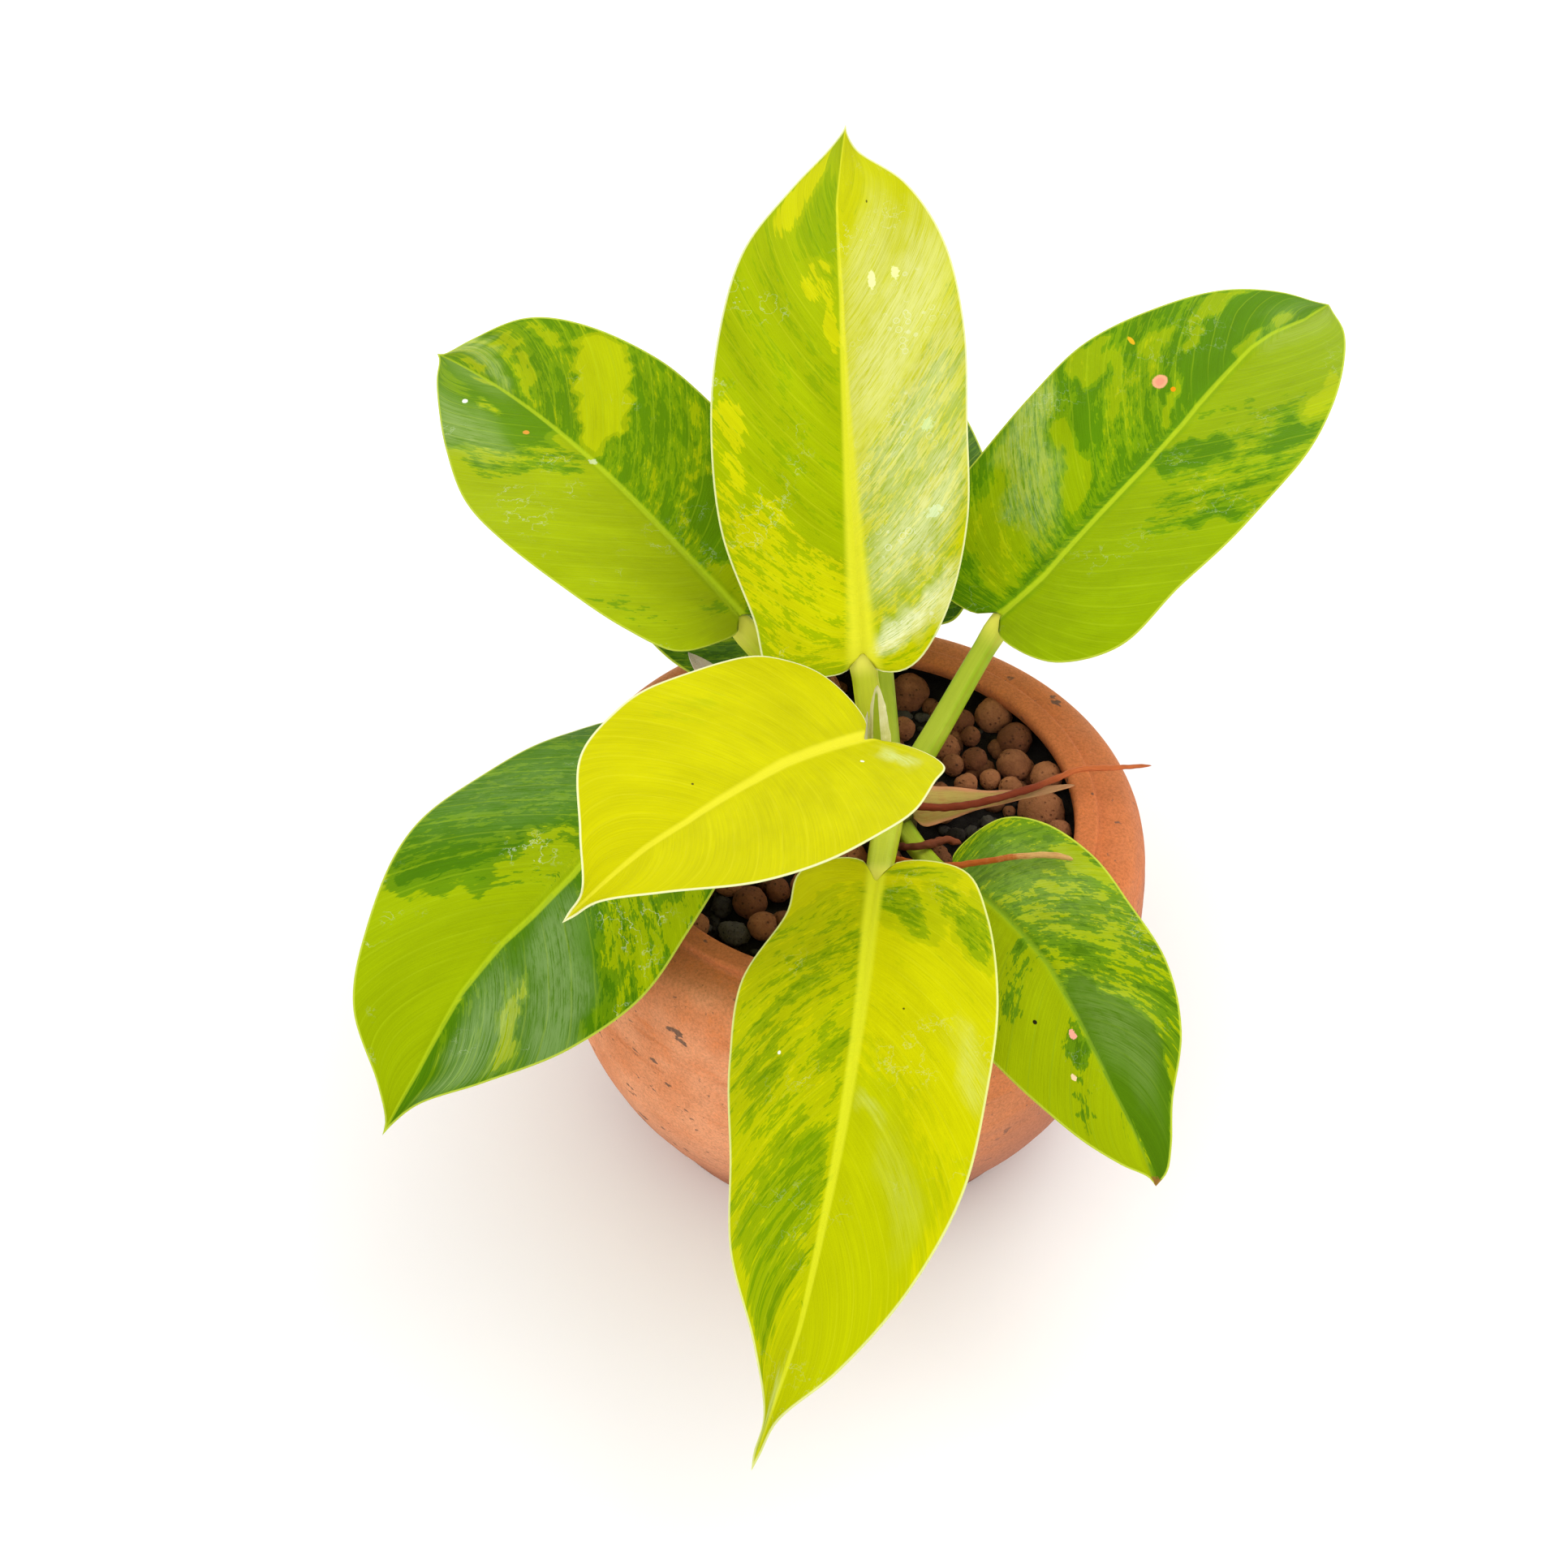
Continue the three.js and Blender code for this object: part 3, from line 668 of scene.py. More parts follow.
@dataclass(kw_only=True)
class Blade:
    """A leaf blade or a scale: a waved, folded sheet along a bent midrib. Millimetres and degrees."""

    name: str
    base: Point
    length: float
    azimuth: float
    bend: float
    elevation: float
    rise: float
    roll: float
    twist: float
    fold: float
    cup: float
    wave: float
    left: Half
    right: Half
    thickness: float = 0.9
    edge_thickness: float = 0.45
    rows: int = 110

    def widest(self) -> float:
        """The widest half width."""
        return max(*self.left.widths, *self.right.widths)

    def frames(self) -> tuple[Array, ...]:
        """The midrib's line.

        Returns:
            Its points and its three directions (along, side, up), from base to tip.
        """
        t = np.linspace(0, 1, MIDRIB_STEPS + 1)
        turns = ((self.azimuth, self.bend), (self.elevation, self.rise), (self.roll, self.twist))
        azimuth, elevation, roll = (np.radians(start + change * t) for start, change in turns)
        level = np.cos(elevation)
        along = stacked(level * np.cos(azimuth), level * np.sin(azimuth), np.sin(elevation))
        flat = stacked(-np.sin(azimuth), np.cos(azimuth), 0 * azimuth)
        over = np.cross(along, flat)
        side = np.cos(roll)[:, None] * flat + np.sin(roll)[:, None] * over
        up = np.cos(roll)[:, None] * over - np.sin(roll)[:, None] * flat
        steps = (along[1:] + along[:-1]) * self.length / MIDRIB_STEPS / 2
        at = np.array(self.base) + np.vstack([[0.0, 0.0, 0.0], np.cumsum(steps, axis=0)])
        return at, along, side, up

    def frame_at(self, share: Array) -> tuple[Array, ...]:
        """The midrib's point and directions at shares of its length.

        Args:
            share: places along the midrib, 0 to 1.

        Returns:
            Points, along, side and up, each with a last axis of x, y, z.
        """
        place = np.clip(share, 0, 1) * MIDRIB_STEPS
        index = np.minimum(place.astype(int), MIDRIB_STEPS - 1)
        part = (place - index)[..., None]
        at, along, side, up = (line[index] * (1 - part) + line[index + 1] * part for line in self.frames())
        return at, along, side, up

    def surface(self, x: Array, y: Array, lift: Array | float) -> Array:
        """Points on the blade.

        Args:
            x: the way along the midrib.
            y: the way out from it, positive to the left.
            lift: how far above the middle surface.

        Returns:
            The points, in millimetres.
        """
        at, _, side, up = self.frame_at(x / self.length)
        start = self.frames()[1][0]
        fold = math.radians(self.fold)
        reach = np.abs(y)
        phase = 2 * np.pi * EDGE_WAVES * x / self.length + np.sign(y)
        ripple = self.wave * np.sin(phase) * (reach / self.widest()) ** 2
        height = math.sin(fold) * reach - self.cup * reach**2 / (2 * self.widest()) + ripple + lift
        behind = np.minimum(x, 0)[..., None] * start
        return at + behind + side * (math.cos(fold) * y)[..., None] + up * height[..., None]

    def sheet(self) -> tuple[Array, ...]:
        """The blade's grid from one edge over the midrib to the other.

        Returns:
            x, y, the share along the edge, the share out (positive left) and the way in from the edge.
        """
        shares = np.linspace(0, 1, self.rows) ** 0.94
        outs = np.array([-o for o in OUTS[::-1]] + [0.0] + list(OUTS))
        rib = self.length * shares**VEIN_SPREAD
        left = self.left.edge(self.length, shares)
        right = self.right.edge(self.length, shares)
        x = np.zeros((len(shares), len(outs)))
        y = np.zeros_like(x)
        inset = np.zeros_like(x)
        for column, out in enumerate(outs):
            edge = right if out < 0 else left
            away = abs(out)
            x[:, column] = rib + (edge[:, 0] - rib) * away
            y[:, column] = np.sign(out) * np.maximum(edge[:, 1], 0) * away
            inset[:, column] = (1 - away) * np.hypot(edge[:, 0] - rib, edge[:, 1])
        return x, y, np.repeat(shares[:, None], len(outs), 1), np.repeat(outs[None], len(shares), 0), inset

    def add_sheet(self, draft: Draft, relief: Array, x: Array, y: Array, inset: Array,
                  values: Values, finish: int = 0) -> None:
        """Adds the blade's two faces and the narrow edge that joins them.

        Args:
            draft: the mesh in the making.
            relief: how far the upper face stands up at each point.
            x, y: the grid along and out.
            inset: the way in from the edge.
            values: what each point keeps.
            finish: the finish number.
        """
        inner = np.clip(inset / EDGE_ROLL, 0, 1)
        thick = self.edge_thickness + (self.thickness - self.edge_thickness) * inner
        above = self.surface(x, y, relief + thick / 2) * MM
        below = self.surface(x, y, 0.6 * relief - thick / 2) * MM
        under = {name: numbers.copy() for name, numbers in values.items()}
        under["place"][..., 2] = 1.0
        rows, columns = x.shape
        top = draft.add_grid(above, values, finish)
        bottom = draft.add_grid(below, under, finish, flip=True)
        walls = []
        for row in range(rows - 1):
            for column, turn in ((0, 1), (columns - 1, -1)):
                a = row * columns + column
                quad = (top + a, top + a + columns, bottom + a + columns, bottom + a)
                walls.append(quad[::turn])
        for column in range(columns - 1):
            walls.append((top + column + 1, top + column, bottom + column, bottom + column + 1))
        draft.add_faces(walls, finish)


@dataclass(frozen=True)
class Patch:
    """A patch of one tone on a blade, drawn out along the side veins.

    along and out give its middle in shares of the blade (out is positive on the left half), and long and
    wide its half sizes. A tone of -1 is dark green, 0 the border between mid green and lime, and 1 yellow. A
    patch that leans sweeps forward more than the side veins do.
    """

    along: float
    out: float
    long: float
    wide: float
    tone: float
    ragged: float = 0.45
    soft: float = 0.3
    lean: float = 0.0


@dataclass(frozen=True)
class Spot:
    """A small mark on a blade, placed like a patch."""

    along: float
    out: float
    long: float
    wide: float
    colour: Colour
    share: float = 1.0
    broken: float = 0.3


@dataclass(frozen=True)
class Marking:
    """How a blade is variegated: the tone of each half, and what lies over it. The painted sheens are
    patches of painted highlight, each with its tone as its strength.
    """

    left: tuple[float, float]
    right: tuple[float, float]
    patches: tuple[Patch, ...] = ()
    painted_sheens: tuple[Patch, ...] = ()
    spots: tuple[Spot, ...] = ()
    sweep: float = 0.17
    channel: float = 0.0
    rib_width: float = 6.0
    rib_fade: float = 1.3
    drift: tuple[tuple[float, float], ...] = ((0.0, 0.0), (1.0, 0.0))

    def vein(self, along: Array | float, out: Array | float) -> Any:
        """The share along the midrib where the side vein through a point starts."""
        return along - self.sweep * np.abs(out) ** 1.15

    def weight(self, patch: Patch, along: Array, out: Array) -> Array:
        """How much of a patch lies on each point.

        Args:
            patch: the patch.
            along: the share along the blade.
            out: the share out, positive left.

        Returns:
            The weight, 0 to 1.
        """
        middle = self.vein(patch.along, patch.out) + patch.lean * (np.abs(out) - abs(patch.out))
        ahead = np.abs((self.vein(along, out) - middle) / patch.long)
        far = ahead**3 + np.abs((out - patch.out) / patch.wide) ** 3
        step = np.clip((1 + patch.soft - far ** (1 / 3)) / (2 * patch.soft), 0, 1)
        return step * step * (3 - 2 * step) * (np.sign(out) == np.sign(patch.out))

    def painted(self, along: Array, out: Array) -> tuple[Array, Array, Array]:
        """The tone, the raggedness and the share of painted sheen at each point.

        Args:
            along: the share along the blade.
            out: the share out, positive left.

        Returns:
            The tone, the raggedness and the share of painted sheen.
        """
        left = out >= 0
        shift = 0.011 * np.sin(31 * along + 9 * out + 1.3) + 0.008 * np.sin(67 * along - 23 * out + 0.5)
        slide = 0.035 * np.sin(23 * along + 17 * out + 2.0) + 0.016 * np.sin(53 * along - 31 * out)
        slide = slide * np.minimum(1, np.abs(out) * 6)
        along, out = along + shift, np.where(left, 1.0, -1.0) * np.abs(out + slide)
        tone = np.where(left, self.left[0], self.right[0])
        ragged = np.where(left, self.left[1], self.right[1])
        sheen_share = np.zeros_like(tone)
        for patch in self.patches:
            weight = self.weight(patch, along, out)
            tone = tone * (1 - weight) + patch.tone * weight
            ragged = ragged * (1 - weight) + patch.ragged * weight
        for sheen in self.painted_sheens:
            sheen_share = np.maximum(sheen_share, sheen.tone * self.weight(sheen, along, out))
        return tone, ragged, sheen_share


# Strands along the side veins: width and length in millimetres, own number, detail and roughness. Streaks
# start with their strength.
STREAKS = (
    (2.7, (7.0, 19.0, 0.0, 2.0, 0.5)),
    (3.0, (2.8, 8.0, 7.0, 3.0, 0.65)),
    (1.2, (0.8, 3.4, 3.0, 2.0, 0.7)),
    (2.6, (1.7, 3.4, 11.0, 3.0, 0.7)),
)
SHADE = (22.0, 34.0, 0.0, 4.0, 0.65)
FINE_LINES = (0.55, 26.0, 5.0, 2.0, 0.6)
CRUMBS = (1.6, 5.0, 17.0, 4.0, 0.7)


@dataclass(frozen=True)
class BladeFinish:
    """A glossy, variegated blade: sharp streaks of four tones that follow its side veins."""

    name: str
    marking: Marking
    dark: Colour = paint(92, 138, 5)
    middle: Colour = paint(124, 163, 4)
    lime: Colour = paint(154, 182, 3)
    yellow: Colour = paint(182, 200, 5)
    cream: Colour = paint(176, 198, 30)
    margin: Colour = paint(194, 208, 66)
    # The pale colour of the painted sheen, a painted highlight; it also makes the underside paler, its own
    # colour.
    pale_sheen: Colour = paint(206, 220, 150)
    trace: Colour = paint(226, 232, 206)
    reflected: Colour = paint(190, 226, 40)
    gloss: float = 0.36
    shine: float = 0.08
    ribbing: float = 0.2
    vein_gap: float = 9.0
    sheen_strength: float = 0.55
    traces: float = 0.12
    drops: float = 0.0
    seed: float = 0.0

    def strand(self, graph: Graph, lay: tuple[Signal, ...], form: tuple[float, ...]) -> Signal:
        """Noise drawn out along the side veins.

        Args:
            graph: the material's nodes.
            lay: where the side vein starts on the midrib, the way out, and the half's own number.
            form: the strands' width, length, own number, detail and roughness.

        Returns:
            The noise, mostly 0.3 to 0.7.
        """
        vein, rib, side = lay
        width, length, own, detail, rough = form
        half = side + own if own else side
        return graph.grain(graph.vector(vein / width, abs(rib) / length, half), 1.0, detail, rough)

    def streaks(self, graph: Graph, vein: Signal, rib: Signal) -> Signal:
        """Streaks along the side veins, about -1 to 1.

        Args:
            graph: the material's nodes.
            vein: the way along the midrib to where the side vein starts, in millimetres.
            rib: the way out from the midrib, in millimetres.

        Returns:
            The streaks.
        """
        lay = (vein, rib, rib.math("SIGN", rib) * 31.0 + self.seed)
        broad, *finer = ((self.strand(graph, lay, form) - 0.5) * strength for strength, form in STREAKS)
        return sum(finer, broad)

    def make(self) -> Material:
        """Makes the material.

        Returns:
            The material.
        """
        graph = Graph(self.name)
        along, out, under = graph.parts("place")
        vein, rib, edge = graph.parts("lay")
        tone, ragged, cream = graph.parts("mark")
        sheen_share, channel, _ = graph.parts("sheen_and_channel")
        level = tone + ragged * self.streaks(graph, vein, rib)
        lay = (vein, rib, rib.math("SIGN", rib) * 13.0 + self.seed)
        shade, lines, crumb = (self.strand(graph, lay, form) for form in (SHADE, FINE_LINES, CRUMBS))
        colour = graph.layered(
            self.dark, (level.ramp(-0.6, -0.48), self.middle), (level.ramp(-0.14, -0.02), self.lime),
            (level.ramp(0.56, 0.7), self.yellow),
        )
        colour = graph.toned(colour, 0.4 + shade * 0.4 + lines * 0.26)
        wander = (graph.grain(graph.place(), 30.0) - 0.5) * 0.5
        turn = vein / self.vein_gap + wander
        main = abs(turn.math("FRACT", turn) - 0.5).ramp(0.06, 0.015) * (abs(rib) / 14.0).least(1.0)
        colour = graph.mix(main * self.ribbing, colour, self.cream)
        # Painted sheen: pale streaks of painted highlight where the painted sheens lie.
        pale_sheen = sheen_share * (lines * 1.2 + crumb * 1.8 + shade * 0.6 - 1.15).ramp(0.1, 0.9)
        colour = graph.mix(pale_sheen * self.sheen_strength, colour, self.pale_sheen)
        drop = graph.cells(graph.place(), 230.0)
        wet = graph.grain(graph.place(), 60.0, 2.0, 0.5).ramp(0.52, 0.6)
        ring = abs(drop - 0.3).ramp(0.07, 0.02) + drop.ramp(0.2, 0.05) * 0.4
        colour = graph.mix((ring * wet * sheen_share * self.drops).least(1.0), colour, self.trace)
        loop = graph.grain(graph.place(), 105.0, 4.0, 0.6)
        spread = graph.grain(graph.place(), 33.0, 2.0, 0.5).ramp(0.56, 0.68)
        colour = graph.mix(abs(loop - 0.5).ramp(0.012, 0.003) * spread * self.traces, colour, self.trace)
        rib_share = abs(cream).ramp(1.25, 0.45) * (0.95 - along * 0.4)
        colour = graph.layered(
            colour, (channel * 0.55, self.dark), (rib_share, self.cream),
            (edge.ramp(0.95, 0.4) * 0.85, self.margin),
        )
        for spot in self.marking.spots:
            crumble = graph.grain(graph.place(), 700.0, 3.0, 0.7)
            far = ((along - spot.along) / spot.long) ** 2.0 + ((out - spot.out) / spot.wide) ** 2.0
            near = (far.math("SQRT", far) + (crumble - 0.5) * (spot.broken * 5.0)).ramp(1.05, 0.8)
            colour = graph.mix(near * spot.share, colour, spot.colour)
        # The underside is paler, its own colour, mixed towards the same pale as the painted sheen.
        colour = graph.mix(under * 0.3, colour, self.pale_sheen)
        dust = graph.grain(graph.place(), 120.0, 4.0, 0.65)
        rough = self.gloss + dust * 0.2 + under * 0.15
        height = lines * 1.5 + graph.grain(graph.place(), 420.0, 3.0)
        normal = graph.bump(height, 0.00013)
        return graph.finish(
            Base_Color=colour, Roughness=rough, Normal=normal, Specular_IOR_Level=self.shine,
            Specular_Tint=self.reflected,
        )


@dataclass(frozen=True)
class StalkFinish:
    """A smooth fleshy stalk, paler in its channel and browner along its edges."""

    name: str
    body: Colour
    channel: Colour
    foot: Colour
    edge: Colour = paint(170, 150, 40)
    collar_with_painted_light: Colour = paint(238, 234, 92)
    gloss: float = 0.38

    def make(self) -> Material:
        """Makes the material.

        Returns:
            The material.
        """
        graph = Graph(self.name)
        along, across, up = graph.parts("stalk")
        fibre = graph.grain(graph.vector(along * 3.0, across * 9.0, up * 9.0), 1.0, 3.0, 0.6)
        cloud = graph.grain(graph.place(), 60.0, 3.0, 0.6)
        rim = (abs(across) - up * 0.2).ramp(0.55, 0.75) * up.ramp(0.3, 0.6)
        line = abs(across + 0.45).ramp(0.3, 0.05) * up.ramp(-0.2, 0.5)
        # Darker towards the foot: painted shade where the stalks crowd at the crown.
        colour = graph.layered(
            self.body, ((cloud - 0.35).ramp(0.0, 0.4), self.channel),
            (up.ramp(0.72, 0.98) * 0.8, self.channel), (rim * 0.35, self.edge),
            (along.ramp(0.22, 0.02), self.foot), (line * 0.4, self.channel),
        )
        colour = graph.toned(colour, 0.74 + fibre * 0.26)
        # The cream collar where the stalk meets the blade, painted brighter than its own cream: painted
        # light against the shade under the blade.
        colour = graph.mix(along.ramp(0.76, 0.92), colour, self.collar_with_painted_light)
        height = fibre + graph.grain(graph.place(), 700.0, 2.0) * 0.4
        rough = self.gloss + fibre * 0.12
        normal = graph.bump(height, 0.0002)
        return graph.finish(Base_Color=colour, Roughness=rough, Normal=normal, Specular_IOR_Level=0.15)


@dataclass(frozen=True)
class EarthenFinish:
    """Weathered, unglazed terracotta with wiped streaks, pale, chalky patches and dark specks, and painted
    shade on its lower body and its lower right side.
    """

    name: str = "terracotta"
    body: Colour = paint(210, 128, 80)
    warm: Colour = paint(206, 114, 54)
    pink: Colour = paint(224, 154, 112)
    rim: Colour = paint(198, 112, 64)
    stain: Colour = paint(92, 76, 66)
    painted_shade: Colour = paint(156, 106, 88)

    def make(self) -> Material:
        """Makes the material.

        Returns:
            The material.
        """
        graph = Graph(self.name)
        at = graph.place()
        split = graph.node("ShaderNodeSeparateXYZ", {}, {0: at})
        x, height = graph.signal(split, 0), graph.signal(split, 2)
        wide = graph.grain(at, 14.0, 4.0, 0.6)
        wiped = graph.grain(graph.stretched(at, (9.0, 9.0, 75.0)), 1.0, 4.0, 0.65)
        specks = graph.grain(at, 900.0, 2.0, 0.7)
        blots = graph.grain(graph.stretched(at, (1.0, 1.0, 1.6)), 85.0, 3.0, 0.65)
        flecks = graph.grain(at, 330.0, 3.0, 0.7)
        mottle = graph.grain(at, 130.0, 4.0, 0.7)
        scratch = graph.grain(graph.stretched(at, (14.0, 14.0, 420.0)), 1.0, 3.0, 0.6)
        # Painted shade: darker towards the bottom under the belly, and on the lower right side. low also
        # places the scratches low on the pot.
        low = height.ramp(0.075, 0.015) * (0.75 + wide * 0.5)
        shady = (x * 10.0 + height * -9.0 + wiped).ramp(0.0, 0.75)
        colour = graph.layered(
            self.body, (wide.ramp(0.38, 0.62), self.pink),
            ((x * 4.0 + wide).ramp(0.45, 0.95) * 0.7, self.warm),
            ((wide - x * 6.0).ramp(0.7, 1.3) * 0.45, self.pink),
            (wiped.ramp(0.5, 0.72) * 0.35, self.pink), (wiped.ramp(0.48, 0.34) * 0.6, self.rim),
            (height.ramp(0.1455, 0.1495) * 0.8, self.rim), (blots.ramp(0.645, 0.685) * 0.85, self.stain),
            (flecks.ramp(0.66, 0.72) * 0.6, self.stain), (flecks.ramp(0.32, 0.24) * 0.5, self.pink),
            (specks.ramp(0.66, 0.74) * 0.5, self.stain), (mottle.ramp(0.52, 0.7) * 0.3, self.warm),
            # Painted shade under the belly and on the lower right side.
            (low * 0.62, self.painted_shade), (shady * 0.6, self.painted_shade),
            (scratch.ramp(0.56, 0.68) * low * 0.6, self.stain),
        )
        colour = graph.toned(colour, 0.26 + wide * 0.2 + specks * 0.9 + mottle * 0.36)
        grit = graph.bump(graph.grain(at, 1400.0, 3.0, 0.7), 0.00022)
        normal = graph.bump(wiped, 0.0005, grit)
        rough = 0.78 + wide * 0.2
        return graph.finish(Base_Color=colour, Roughness=rough, Normal=normal, Specular_IOR_Level=0.15)


@dataclass(frozen=True)
class GranuleFinish:
    """Rough grains, each with its own tone: fired clay pebbles, or the dark growing medium."""

    name: str
    first: Colour
    second: Colour
    pit: Colour
    grit: float = 420.0
    depth: float = 0.0006

    def make(self) -> Material:
        """Makes the material.

        Returns:
            The material.
        """
        graph = Graph(self.name)
        at = graph.place()
        own, lit, _ = graph.parts("grain")
        cloud = graph.grain(at, 160.0, 4.0, 0.65)
        pores = graph.cells(at, self.grit)
        sand = graph.grain(at, self.grit * 3.0, 3.0, 0.7)
        colour = graph.mix((own * 0.7 + cloud * 0.6).ramp(0.3, 1.0), self.first, self.second)
        colour = graph.mix(pores.ramp(0.32, 0.12) * 0.55, colour, self.pit)
        # lit scales each grain's colour: painted light and shade.
        colour = graph.toned(colour, (0.37 + cloud * 0.5 + sand * 0.5 + own * 0.12) * lit)
        height = graph.grain(at, self.grit * 1.7, 4.0, 0.7) + pores.ramp(0.0, 0.3) * 0.5
        normal = graph.bump(height, self.depth)
        return graph.finish(Base_Color=colour, Roughness=0.92, Normal=normal, Specular_IOR_Level=0.15)


@dataclass(frozen=True)
class SkinFinish:
    """A root, a scale or the stem: one colour that changes along its length, with fibres."""

    name: str
    start: Colour
    end: Colour
    fleck: Colour
    turn: tuple[float, float] = (0.3, 0.8)
    rough: float = 0.6
    depth: float = 0.0004
    flecked: float = 0.5
    cleft: Colour | None = None
    rim: Colour | None = None
    rim_share: float = 0.8

    def make(self) -> Material:
        """Makes the material.

        Returns:
            The material.
        """
        graph = Graph(self.name)
        along, across, up = graph.parts("stalk")
        at = graph.place()
        cloud = graph.grain(at, 190.0, 4.0, 0.65)
        fibre = graph.grain(graph.vector(along * 5.0, across * 14.0, up * 14.0), 1.0, 3.0, 0.6)
        colour = graph.mix((along + (cloud - 0.5) * 0.3).ramp(*self.turn), self.start, self.end)
        colour = graph.mix((fibre * 0.6 + cloud * 0.5).ramp(0.5, 0.72) * self.flecked, colour, self.fleck)
        if self.rim:
            colour = graph.mix((abs(across) - up * 3.0).ramp(1.4, 1.9) * self.rim_share, colour, self.rim)
        if self.cleft:
            opening = up + 0.15 - along * 0.25
            open_share = (across.ramp(-0.5, -0.6)) * abs(opening).ramp(0.42, 0.34) * along.ramp(0.97, 0.9)
            colour = graph.mix(open_share, colour, self.cleft)
        colour = graph.toned(colour, 0.74 + cloud * 0.3)
        rough = self.rough + cloud * 0.15
        normal = graph.bump(fibre + cloud, self.depth)
        return graph.finish(Base_Color=colour, Roughness=rough, Normal=normal, Specular_IOR_Level=0.2)


@dataclass
class Stem:
    """The short thick crown, ringed by old leaf scars. Millimetres."""

    x: float = 15.0
    y: float = 0.0
    radius: float = 12.0
    bottom: float = 112.0
    top: float = 162.0
    sides: int = 48

    def section(self) -> Line:
        """The crown's [radius, height] line from its foot to its top.

        Returns:
            The line.
        """
        line = [(0.01, self.bottom), (self.radius - 2, self.bottom), (self.radius - 0.6, self.bottom + 6)]
        for ring in range(3):
            level = 139 + 6 * ring
            line += [(self.radius - 0.9, level), (self.radius, level + 1.5), (self.radius - 0.9, level + 3)]
        line += [(self.radius - 1.5, self.top - 4), (self.radius - 5, self.top), (0.01, self.top + 1)]
        return line

    def build(self) -> Piece:
        """Makes the crown.

        Returns:
            The piece.
        """
        line = np.array(self.section())
        reach = reach_along(line)
        steps = np.linspace(0, reach[-1], 70)
        radius, height = (np.interp(steps, reach, line[:, k]) for k in range(2))
        angle = np.linspace(0, 2 * np.pi, self.sides, endpoint=False)
        points = np.zeros((len(steps), self.sides, 3))
        values = np.zeros_like(points)
        for row, (r, h) in enumerate(zip(radius, height)):
            for k, turn in enumerate(angle):
                swell = 0.5 * noise.noise(Vector((3 * math.cos(turn), 3 * math.sin(turn), h * 0.12))) - 0.3
                own = max(r + swell * min(r / 4, 1), 0.01)
                points[row, k] = (self.x + own * math.cos(turn), self.y + own * math.sin(turn), h)
                values[row, k] = (row / len(steps), math.cos(turn), math.sin(turn))
        draft = Draft()
        draft.add_tube(points * MM, {"stalk": values})
        skin = SkinFinish(
            "crown_skin", paint(92, 78, 44), paint(150, 160, 52), paint(112, 74, 44), (0.55, 0.9)
        )
        return draft.piece("crown_stem", [skin.make()], Slot.STEM, "stem")


